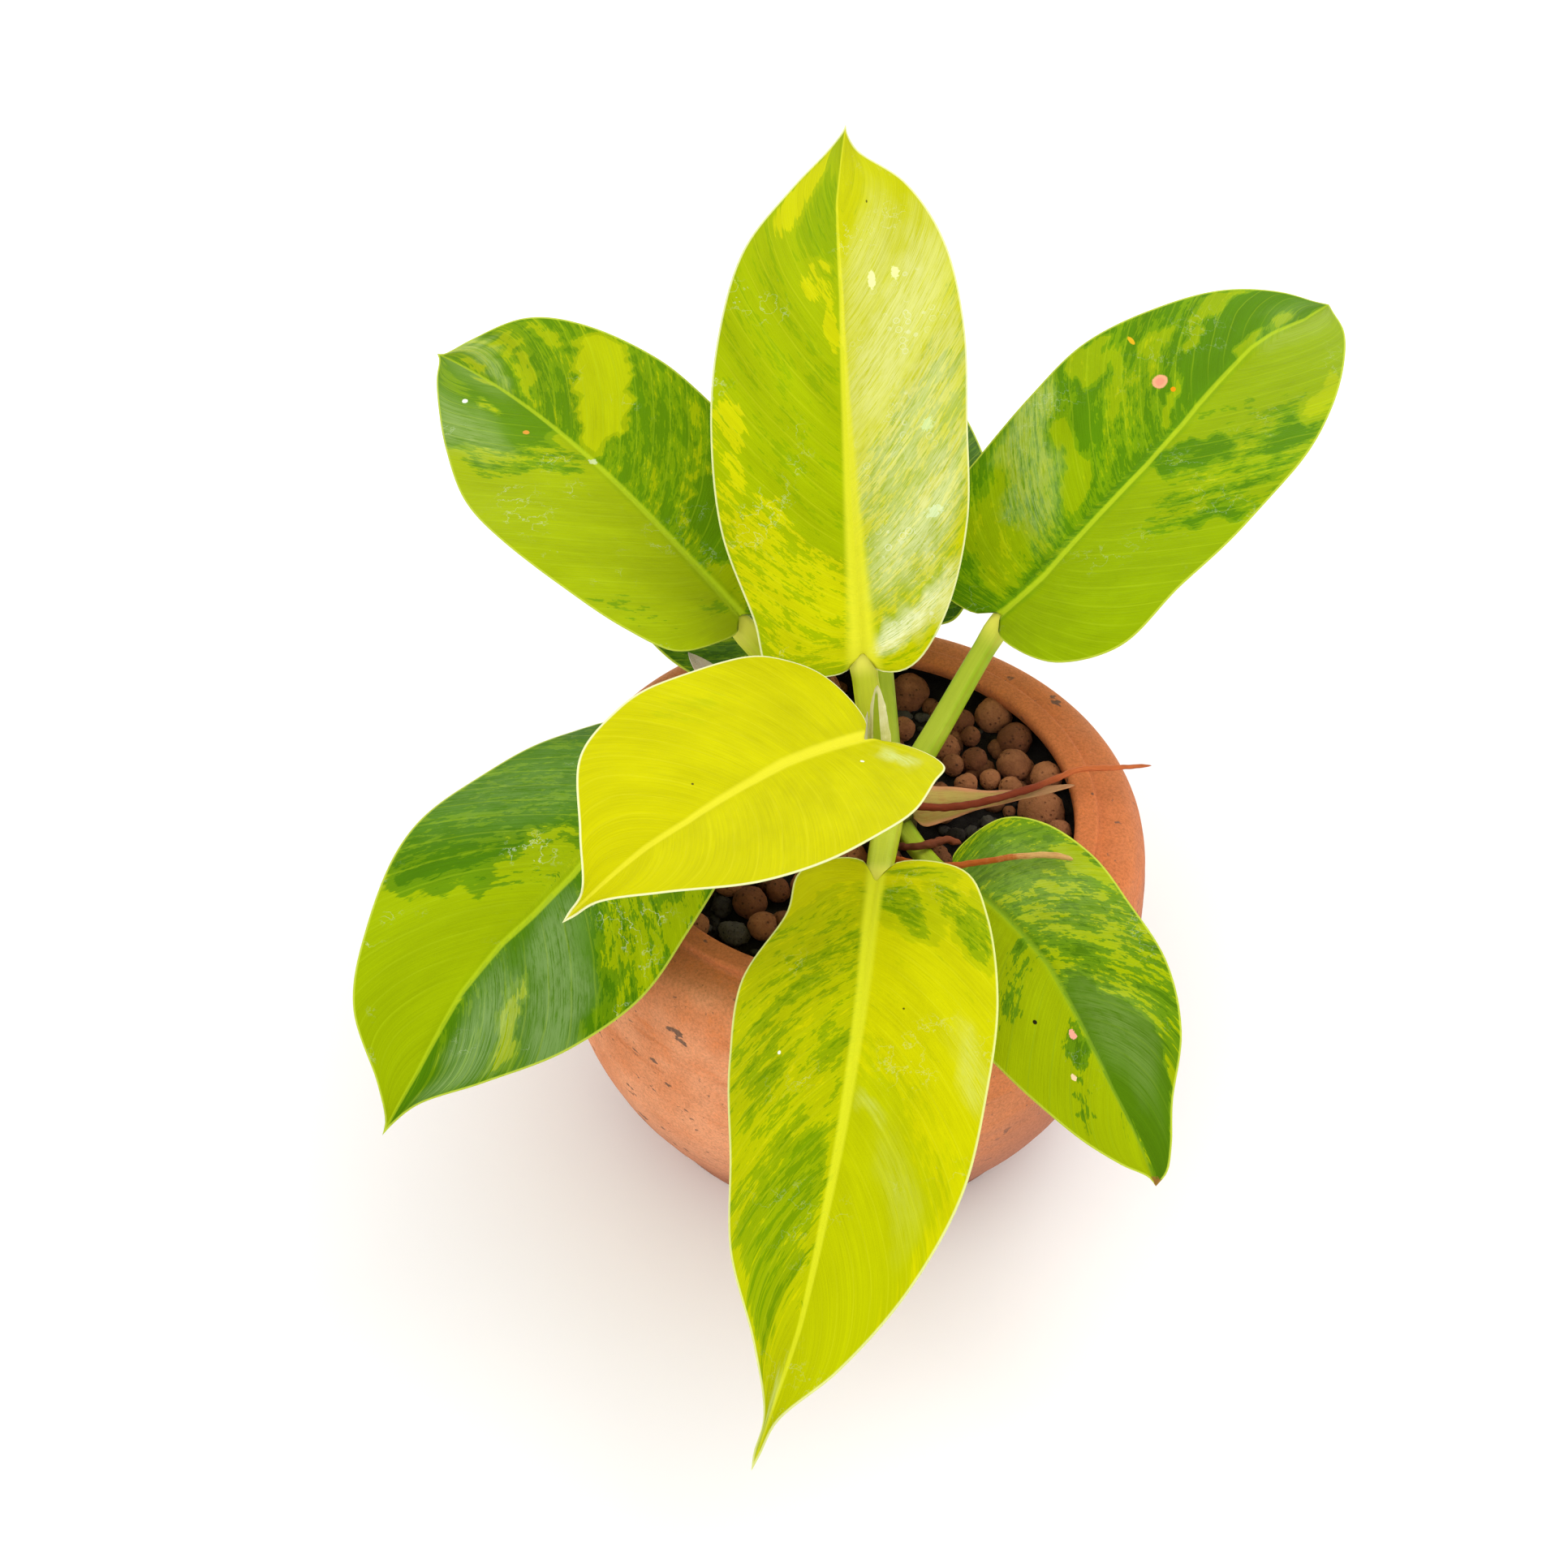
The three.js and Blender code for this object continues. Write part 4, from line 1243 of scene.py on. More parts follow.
@dataclass(kw_only=True)
class Leaf(Blade):
    """A leaf: its stalk from the crown, its blade, and its midrib under the blade."""

    slot: Slot = Slot.VARIEGATED_LEAF
    stem_angle: float
    stem_height: float
    petiole: float
    sag: float = 0.0
    marking: Marking
    body: Colour = paint(160, 190, 22)
    channel: Colour = paint(192, 208, 60)
    foot: Colour = paint(140, 160, 34)
    colours: dict[str, Any] = field(default_factory=dict)
    sides: int = 24

    def stalk(self) -> tuple[Array, ...]:
        """The stalk's rings.

        Returns:
            Their middles, the directions of their sides and tops, their widths and their heights.
        """
        turn = math.radians(self.stem_angle)
        out = np.array([math.cos(turn), math.sin(turn), 0.0])
        start = np.array([Stem.x, Stem.y, self.stem_height]) + 5 * out
        at, along, side, up = self.frames()
        end = at[0] + up[0] * (0.1 - 0.42 * self.petiole)
        span = float(np.linalg.norm(end - start))
        chord = unit(end - start)
        leave = unit(0.35 * out + chord)
        arrive = unit(0.3 * along[0] + chord)
        droop = np.array([0.0, 0.0, self.sag])
        controls = [start, start + leave * span * 0.33 - droop, end - arrive * span * 0.33 - droop, end]
        t = np.linspace(0, 1, 26)
        points = bezier(controls, t)
        ahead = unit(np.gradient(points, axis=0))
        sides = unit(side[0] - ahead * (ahead @ side[0])[:, None])
        size = self.petiole * (1.12 - 0.22 * t)
        size = size * (1 + 0.12 * hump(t - 0.93, 0.07))
        return points, sides, np.cross(ahead, sides), size, size * 0.85

    def midrib(self) -> tuple[Array, ...]:
        """The rings of the rib under the blade.

        Returns:
            What stalk returns.
        """
        t = np.linspace(0.035, 0.9, 26)
        at, _, side, up = self.frame_at(t)
        width = self.petiole * (0.62 * (1 - t) ** 1.2 + 0.08)
        height = self.petiole * (0.5 * (1 - t) ** 1.2 + 0.07)
        proud = 0.55 * np.clip(1 - t / 0.35, 0, 1) - 0.25
        moved = np.interp(t**(1 / VEIN_SPREAD), *zip(*self.marking.drift))
        return at + up * (proud - height / 2)[:, None] + side * moved[:, None], side, up, width, height

    def add_stalk(self, draft: Draft) -> None:
        """Adds the stalk and the rib as one rod with a channel on top.

        Args:
            draft: the mesh in the making.
        """
        stalk, rib = self.stalk(), self.midrib()
        points, sides, ups, widths, heights = (np.concatenate([a, b]) for a, b in zip(stalk, rib))
        theta = (np.arange(self.sides) + 0.5) * 2 * np.pi / self.sides
        around, over = np.cos(theta), np.sin(theta)
        bulge = np.sign(around) * np.abs(around) ** 0.85
        dent = 0.16 * hump(np.degrees(theta) - 90, 20)
        rings = (
            points[:, None]
            + sides[:, None] * (widths[:, None] / 2 * bulge)[..., None]
            + ups[:, None] * (heights[:, None] / 2 * (over - dent))[..., None]
        )
        share = np.linspace(0, 1.9, len(points))
        values = np.zeros((*rings.shape[:2], 3))
        values[..., 0] = share[:, None]
        values[..., 1] = around
        values[..., 2] = over
        draft.add_tube(rings * MM, {"stalk": values}, finish=1)

    def relief(self, along: Array, rib: Array, vein: Array, inset: Array) -> Array:
        """How far the upper face stands up: the rib's channel and the swell between veins.

        Args:
            along: the share along the blade.
            rib: the way out from the midrib.
            vein: where the side vein starts on the midrib.
            inset: the way in from the edge.

        Returns:
            The rise, in millimetres.
        """
        groove = 0.5 * hump(rib, 1.1) * np.clip(1.1 - along, 0, 1)
        banks = 0.55 * hump(np.abs(rib) - 2.4, 1.6) * np.clip(1.05 - along, 0, 1)
        swell = 0.28 * np.abs(np.sin(np.pi * vein / 11.0)) ** 0.7 - 0.18
        room = np.clip(np.abs(rib) / 10, 0, 1) * np.clip(inset / 9, 0, 1)
        return banks - groove + swell * room

    def build(self) -> Piece:
        """Makes the leaf as one piece.

        Returns:
            The piece.
        """
        x, y, along, out, inset = self.sheet()
        shift = np.interp(along, *zip(*self.marking.drift)) * np.clip(1 - np.abs(out), 0, 1)
        rib = y - shift
        side_out = np.sign(rib) * np.maximum(np.abs(out), 0.005)
        tone, ragged, sheen_share = self.marking.painted(along, side_out)
        vein = self.marking.vein(along, out) * self.length
        fade = np.clip(1 - along, 0, 1) ** self.marking.rib_fade
        half_rib = self.marking.rib_width * fade + 0.35
        beside = self.marking.channel * hump(np.abs(rib) - half_rib - 0.8, 0.7) * fade
        values = {
            "place": stacked(along, out, np.zeros_like(out)),
            "lay": stacked(vein, rib, inset),
            "mark": stacked(tone, ragged, rib / half_rib),
            "sheen_and_channel": stacked(sheen_share, beside, np.zeros_like(out)),
        }
        draft = Draft()
        self.add_sheet(draft, self.relief(along, rib, vein, inset), x, y, inset, values)
        self.add_stalk(draft)
        seed = float(len(self.name) * 3)
        finish = BladeFinish(self.name + "_blade", self.marking, seed=seed, **self.colours)
        stalk = StalkFinish(self.name + "_stalk", self.body, self.channel, self.foot)
        return draft.piece(self.name + "_fine", [finish.make(), stalk.make()], self.slot, self.name)


@dataclass(kw_only=True)
class Scale(Blade):
    """A papery or fleshy scale that wrapped a young leaf."""

    slot: Slot = Slot.SCALES
    finish: SkinFinish
    keel: float = 0.5

    def build(self) -> Piece:
        """Makes the scale.

        Returns:
            The piece.
        """
        x, y, along, out, inset = self.sheet()
        crease = self.keel * hump(y, 1.0) * np.clip(1.1 - along, 0, 1)
        crumple = 0.35 * np.sin(x * 0.35 + np.sign(y)) * np.clip(np.abs(out), 0, 1)
        values = {
            "place": stacked(along, out, np.zeros_like(out)),
            "stalk": stacked(along, out * 2.0, hump(y, 1.2)),
        }
        draft = Draft()
        self.add_sheet(draft, crumple - crease, x, y, inset, values)
        return draft.piece(self.name + "_fine", [self.finish.make()], self.slot, self.name)


@dataclass
class Shoot:
    """A round piece that follows a line of [x, y, z, diameter], such as a root or a rolled leaf."""

    name: str
    slot: Slot
    path: tuple[tuple[float, float, float, float], ...]
    finish: SkinFinish
    knobs: float = 0.0
    folds: int = 0
    sides: int = 20

    def build(self) -> Piece:
        """Makes the shoot.

        Returns:
            The piece.
        """
        corners = np.array(self.path, float)
        count = 26 * (len(corners) - 1) + 1
        points = curve_through(corners[:, :3], count)
        share = np.linspace(0, 1, count)
        spans = share * (len(corners) - 1)
        width = np.interp(spans, np.arange(len(corners)), corners[:, 3])
        ahead = unit(np.gradient(points, axis=0))
        wanted = np.array([0.3, 1.0, 0.0])
        side = unit(wanted - ahead * (ahead @ wanted)[:, None])
        up = np.cross(ahead, side)
        theta = np.arange(self.sides) * 2 * np.pi / self.sides
        rings = np.zeros((count, self.sides, 3))
        values = np.zeros_like(rings)
        rounding = np.minimum(1, np.sqrt(np.clip((1 - share) * count / 6, 0.02, 1)))
        for row in range(count):
            for k, turn in enumerate(theta):
                ring = Vector((math.cos(turn), math.sin(turn), 0.0)) * 0.6
                at = Vector((points[row] * 0.35).tolist()) + ring
                knob = 1 + self.knobs * noise.noise(at)
                fold = 1 + 0.1 * math.sin(self.folds * turn) if self.folds else 1.0
                reach = width[row] / 2 * knob * fold * rounding[row]
                rings[row, k] = points[row] + side[row] * reach * math.cos(turn)
                rings[row, k] += up[row] * reach * math.sin(turn)
                values[row, k] = (share[row], math.cos(turn), math.sin(turn))
        draft = Draft()
        draft.add_tube(rings * MM, {"stalk": values})
        return draft.piece(self.name + "_fine", [self.finish.make()], self.slot, self.name)


@dataclass
class Pot:
    """The thrown pot: a round belly, a stepped foot, a flat lip and three drain holes. Millimetres."""

    height: float = 152.0
    belly: float = 120.0
    belly_level: float = 98.0
    mouth: float = 89.0
    lip: float = 98.5
    lip_height: float = 3.5
    rounding: float = 2.0
    wall: float = 9.0
    floor: float = 11.0
    foot: float = 91.0
    foot_height: float = 12.0
    foot_step: float = 2.0
    drain_holes: int = 3
    drain_radius: float = 6.0
    drain_circle: float = 34.0
    flat: float = 40.0
    sides: int = 200

    def outer(self) -> Line:
        """The outside from the foot up to the lip.

        Returns:
            Its [radius, height] line.
        """
        foot = self.foot + 4 + self.foot_step
        neck = self.height - self.lip_height
        low = [
            (foot, self.foot_height + self.foot_step),
            (foot + 12, self.foot_height + 20),
            (self.belly + 1, self.belly_level - 42),
            (self.belly, self.belly_level),
        ]
        high = [
            (self.belly, self.belly_level),
            (self.belly, neck - 8),
            (self.belly - 1, neck + 0.5),
            (self.lip, neck),
        ]
        return joined(low, high, 30)

    def inner(self) -> Line:
        """The inside from the floor up to the mouth.

        Returns:
            Its [radius, height] line.
        """
        radius = self.belly - self.wall
        low = [
            (self.foot - 11, self.floor),
            (self.foot + 6, self.floor + 12),
            (radius, self.belly_level - 36),
            (radius, self.belly_level),
        ]
        high = [
            (radius, self.belly_level),
            (radius, self.belly_level + 38),
            (radius - 3, self.height - 9),
            (self.mouth, self.height - 5),
        ]
        return joined(low, high, 14)

    def round_corner(self, radius: float, level: float, outward: float) -> Line:
        """A quarter round of the lip.

        Args:
            radius, level: the round's middle.
            outward: 1 for the outer corner, -1 for the inner one.

        Returns:
            Its points, the outer one going up and the inner one going down.
        """
        turns = np.linspace(0, math.pi / 2, 7) if outward > 0 else np.linspace(math.pi / 2, 0, 7)
        r = self.rounding
        return [(radius + outward * r * math.cos(turn), level + r * math.sin(turn)) for turn in turns]

    def build(self) -> Piece:
        """Makes the pot.

        Returns:
            The piece.
        """
        top = self.height - self.rounding
        line = [(0.01, 0.0), (self.flat, 0.0), (self.foot - 1.5, 0.0)]
        line += [(self.foot - 0.4, 0.4), (self.foot, 1.5)]
        line += [(self.foot + 2, self.foot_height / 2), (self.foot + 4, self.foot_height - 1)]
        line += [(self.foot + 4.6, self.foot_height + 0.8)]
        line += self.outer()
        line += self.round_corner(self.lip - self.rounding, top, 1.0)
        line += self.round_corner(self.mouth + self.rounding, top, -1.0)
        line += self.inner()[::-1] + [(self.flat, self.floor), (0.01, self.floor)]
        angle = np.linspace(0, 2 * np.pi, self.sides, endpoint=False)
        points = np.zeros((len(line), self.sides, 3))
        for row, (radius, level) in enumerate(line):
            for k, turn in enumerate(angle):
                ring = Vector((1.2 * math.cos(turn), 1.2 * math.sin(turn), level * 0.16))
                worn = 0.35 * noise.noise(ring) * min(radius / 40, 1) * (4 < level < self.height - 5)
                own = radius + worn
                points[row, k] = (own * math.cos(turn), own * math.sin(turn), level)
        draft = Draft()
        draft.add_tube(points * MM, {})
        made = draft.piece("terracotta_pot", [EarthenFinish().make()], Slot.TERRACOTTA, "pot")
        self.drill(made)
        return made

    def drill(self, pot: Piece) -> None:
        """Cuts the drain holes through the floor.

        Args:
            pot: the pot, which is changed.
        """
        work = bmesh.new()
        for hole in range(self.drain_holes):
            turn = 2 * math.pi * (hole + 0.5) / self.drain_holes
            ends = bmesh.ops.create_cone(
                work, cap_ends=True, segments=32, radius1=self.drain_radius * MM,
                radius2=self.drain_radius * MM, depth=(self.floor + 4) * MM,
            )["verts"]
            shift = (self.drain_circle * math.cos(turn), self.drain_circle * math.sin(turn), self.floor / 2)
            bmesh.ops.translate(work, verts=ends, vec=Vector(shift) * MM)
        cutter_mesh = bpy.data.meshes.new("drill")
        work.to_mesh(cutter_mesh)
        work.free()
        cutter = in_scene("drill", cutter_mesh)
        cut = pot.modifiers.new("drain", "BOOLEAN")
        cut.operation = "DIFFERENCE"
        cut.object = cutter
        bpy.context.view_layer.update()
        result = bpy.data.meshes.new_from_object(pot.evaluated_get(bpy.context.evaluated_depsgraph_get()))
        pot.modifiers.clear()
        pot.data = result
        bpy.data.objects.remove(cutter)


SEEN_PEBBLES = (
    (25, 77, 9), (60, 63, 8), (46, 58, 6), (50, 50, 4.5), (39, 42, 6.5), (42, 33, 5), (51, 36, 5.5),
    (68, 48, 7.5), (67, 33, 7.5), (47, 22, 5), (57, 25, 4.5), (65, 20, 5), (80, 26, 7.3), (77, 9, 10),
    (83, -5, 5.5), (22, 54, 5.5), (36, 18, 4), (48, 13, 4.5), (-40, -45, 7), (-35, -57, 6), (-29, -38, 5),
)
DARK_STONES = (
    (-51, -45, 5), (-46, -59, 6.5), (52, -6, 4.5), (60, -12, 4.5),
    (64, 2, 4.5), (55, 3, 3.5), (42, -4, 4), (47, -15, 4),
)
STALK_ROOM = ((15, 0, 14), (24, -14, 5), (29, -25, 5))


@dataclass
class Filling:
    """The dark medium, with its stones and gravel, and the clay pebbles on it. Millimetres."""

    level: float = 137.0
    bed: float = 139.8
    bed_radius: float = 86.0
    pebble_top: float = 149.0
    pebble_count: int = 74
    small_count: int = 150
    small_reach: float = 82.0
    gravel_count: int = 420
    gravel_reach: float = 84.0
    stem_room: float = 14.0
    hole_radius: float = 12.6
    hole_floor: float = 112.2
    sides: int = 120
    tries: int = 6000
    crowding: float = 0.94
    seed: int = 7

    def add_grain(
        self, draft: Draft, middle: Point, size: Point, detail: int, uneven: float, own: float, lit: float,
        seed: int,
    ) -> None:
        """Adds one rough grain.

        Args:
            draft: the mesh in the making.
            middle: its middle.
            size: its half sizes.
            detail: how fine its mesh is.
            uneven: how far it strays from round.
            own: its own tone, 0 to 1.
            lit: how bright it is, a factor of painted light and shade on its colour.
            seed: which shape it gets.
        """
        ball, faces = BALLS[detail]
        points = np.zeros_like(ball)
        for index, place in enumerate(ball):
            at = Vector(place.tolist()) + Vector((seed * 3.1, seed * 1.7, seed * 0.9))
            bulge = 1 + uneven * noise.noise(at * 1.1) + uneven * 0.5 * noise.noise(at * 3.1)
            bulge += uneven * 0.22 * noise.noise(at * 8.0)
            points[index] = place * bulge
        turn = seed * 1.3
        cos, sin = math.cos(turn), math.sin(turn)
        spin = np.array([[cos, -sin, 0], [sin, cos, 0], [0, 0, 1]])
        placed = (points * np.array(size)) @ spin.T + np.array(middle)
        kept = np.repeat([[own, lit, 0.0]], len(placed), axis=0)
        first = draft.add_points(placed * MM, {"grain": kept})
        draft.add_faces([tuple(first + corner for corner in face) for face in faces])

    def places(self) -> list[tuple[float, float, float]]:
        """Where the pebbles lie: those that show first, then a seeded rule for the rest.

        Returns:
            Each pebble's x, y and radius.
        """
        draw = seeded(self.seed)
        found = list(SEEN_PEBBLES)
        taken = [*SEEN_PEBBLES, *DARK_STONES, *STALK_ROOM]
        for _ in range(self.tries):
            if len(found) >= self.pebble_count:
                break
            x, y, radius, reach = scattered(draw, self.bed_radius, 5.5, 3)
            free = all(math.hypot(x - tx, y - ty) > self.crowding * (tr + radius) for tx, ty, tr in taken)
            if free and reach + radius < self.bed_radius + 4:
                found.append((x, y, radius))
                taken.append((x, y, radius))
        return found

    def build_pebbles(self) -> Piece:
        """Makes the fired clay pebbles and the smaller ones under them.

        Returns:
            The piece.
        """
        draft = Draft()
        draw = seeded(self.seed + 4)
        for index, (x, y, radius) in enumerate(self.places()):
            level = min(self.bed + 0.35 * radius, self.pebble_top - radius)
            size = (radius * 0.98, radius * (0.9 + 0.08 * draw()), radius * (0.9 + 0.08 * draw()))
            self.add_grain(draft, (x, y, level), size, 4, 0.1, draw(), 1.0, index + 1)
        for index in range(self.small_count):
            x, y, radius, _ = scattered(draw, self.small_reach, 2.6, 2.6)
            kept_free = (*DARK_STONES, *STALK_ROOM)
            if all(math.hypot(x - sx, y - sy) > radius + sr for sx, sy, sr in kept_free):
                size = (radius, radius * 0.9, radius * 0.85)
                # The small pebbles lie low in the gaps, so they get painted shade (lit 0.6).
                self.add_grain(draft, (x, y, self.level + 1.2), size, 3, 0.14, draw(), 0.6, index + 100)
        finish = GranuleFinish(
            "fired_clay", paint(128, 78, 50), paint(182, 118, 78), paint(60, 36, 26), 420.0, 0.0014
        )
        return draft.piece("pebble_bed", [finish.make()], Slot.PEBBLES, "clay_pebbles")

    def build_medium(self) -> Piece:
        """Makes the dark growing medium with its stones, gravel and bark.

        Returns:
            The piece.
        """
        draft = Draft()
        draw = seeded(self.seed + 9)
        pot = Pot()
        wall = [(radius - 0.5, level) for radius, level in pot.inner() if level < self.level - 2]
        line = [(0.01, pot.floor + 0.5)] + wall
        radii = np.linspace(wall[-1][0] - 1, self.hole_radius + 0.6, 36)
        line += [(radius, self.level - 0.6) for radius in radii]
        line += [(self.hole_radius, self.hole_floor), (0.01, self.hole_floor)]
        points = np.zeros((len(line), self.sides, 3))
        for row, (radius, level) in enumerate(line):
            for k in range(self.sides):
                turn = 2 * math.pi * k / self.sides
                x, y = radius * math.cos(turn), radius * math.sin(turn)
                top = level > 112 and 12 < radius < 105 and row > len(wall)
                centre = Stem.x * (1 - radius / 105) if top else 0.0
                centre = Stem.x if row >= len(line) - 2 else centre
                rough = noise.noise(Vector((x, y, 0.0)) * 0.22) if row > len(wall) and radius > 13.5 else 0.0
                points[row, k] = (x + centre, y, level + rough)
        kept = np.tile([0.2, 0.55, 0.0], (len(line), self.sides, 1))
        draft.add_tube(points * MM, {"grain": kept})
        for index, (x, y, radius) in enumerate(DARK_STONES):
            size = (radius, radius * 0.8, radius * 0.72)
            middle = (x, y, self.level + 0.45 * radius)
            self.add_grain(draft, middle, size, 4, 0.2, 0.9 * draw(), 1.25, index + 400)
        for index in range(self.gravel_count):
            x, y, radius, _ = scattered(draw, self.gravel_reach, 1.0, 1.6)
            if math.hypot(x - Stem.x, y - Stem.y) > self.stem_room + radius:
                size = (radius * 1.3, radius, radius * 0.7)
                self.add_grain(draft, (x, y, self.level + 0.2), size, 2, 0.3, draw(), 0.8, index + 500)
        finish = GranuleFinish(
            "dark_medium", paint(44, 38, 34), paint(92, 86, 78), paint(20, 17, 15), 700.0, 0.0008
        )
        return draft.piece("medium_surface", [finish.make()], Slot.MEDIUM, "growing_medium")


@dataclass
class PhotoCamera:
    """The camera at the photograph's angle. Millimetres and degrees; nearest and farthest in metres."""

    elevation: float = 45.371
    roll: float = 0.686
    distance: float = 1200.0
    target: Point = (-27.329, 101.289, 60.0)
    lens: float = 61.12
    sensor: float = 36.0
    nearest: float = 0.05
    farthest: float = 50.0

    def build(self) -> None:
        """Makes the camera and sets it as the scene's."""
        tilt, roll = math.radians(self.elevation), math.radians(self.roll)
        back = Vector((0.0, -math.cos(tilt), math.sin(tilt)))
        right = Vector((1.0, 0.0, 0.0))
        up = back.cross(right)
        across = right * math.cos(roll) + up * math.sin(roll)
        over = up * math.cos(roll) - right * math.sin(roll)
        lens = bpy.data.cameras.new("photo_camera")
        lens.lens = self.lens
        lens.sensor_width = self.sensor
        lens.sensor_fit = "HORIZONTAL"
        lens.clip_start = self.nearest
        lens.clip_end = self.farthest
        made = in_scene("photo_camera", lens)
        place = (Vector(self.target) + back * self.distance) * MM
        rows = [(across[k], over[k], back[k], place[k]) for k in range(3)]
        made.matrix_world = Matrix([*rows, (0.0, 0.0, 0.0, 1.0)])
        bpy.context.scene.camera = made


@dataclass
class Studio:
    """A plain pale floor, an even sky of light and two large soft lamps. Metres and watts."""

    floor_size: float = 16.0
    sky: float = 1.16
    key: float = 13.0
    fill: float = 6.0

    def lamp(self, name: str, place: Point, aim: Point, size: float, power: float) -> None:
        """Adds one square soft lamp.

        Args:
            name: its name.
            place: where it hangs.
            aim: what it points at.
            size: the length of its side.
            power: its power.
        """
        light = bpy.data.lights.new(name, "AREA")
        light.size = size
        light.energy = power
        made = in_scene(name, light)
        made.location = place
        made.rotation_euler = (Vector(aim) - Vector(place)).to_track_quat("-Z", "Y").to_euler()

    def build(self) -> None:
        """Makes the floor, the sky and the lamps."""
        half = self.floor_size / 2
        corners = np.array([[(x, y, 0) for x in (-half, half)] for y in (-half, half)], float)
        draft = Draft()
        draft.add_grid(corners, {})
        floor = in_scene("pale_floor", draft.mesh("pale_floor"))
        graph = Graph("pale_floor")
        cloud = graph.grain(graph.place(), 2.0, 2.0, 0.5)
        shade = graph.mix(cloud, (0.93, 0.93, 0.93), (0.96, 0.96, 0.96))
        floor.data.materials.append(graph.finish(Base_Color=shade, Roughness=0.9, Specular_IOR_Level=0.1))
        world = bpy.data.worlds.new("studio_sky")
        world.use_nodes = True
        sky = world.node_tree.nodes["Background"]
        sky.inputs["Color"].default_value = (1.0, 1.0, 1.0, 1.0)
        sky.inputs["Strength"].default_value = self.sky
        bpy.context.scene.world = world
        self.lamp("key_lamp", place=(0.9, 0.6, 1.9), aim=(0.0, 0.0, 0.15), size=1.6, power=self.key)
        self.lamp("fill_lamp", place=(-1.3, -1.1, 1.5), aim=(0.0, 0.0, 0.1), size=1.8, power=self.fill)
        bpy.context.scene.view_settings.view_transform = "Standard"


def rows(kind: type, *values: tuple) -> tuple:
    """Makes one patch or spot from each row of values."""
    return tuple(kind(*row) for row in values)


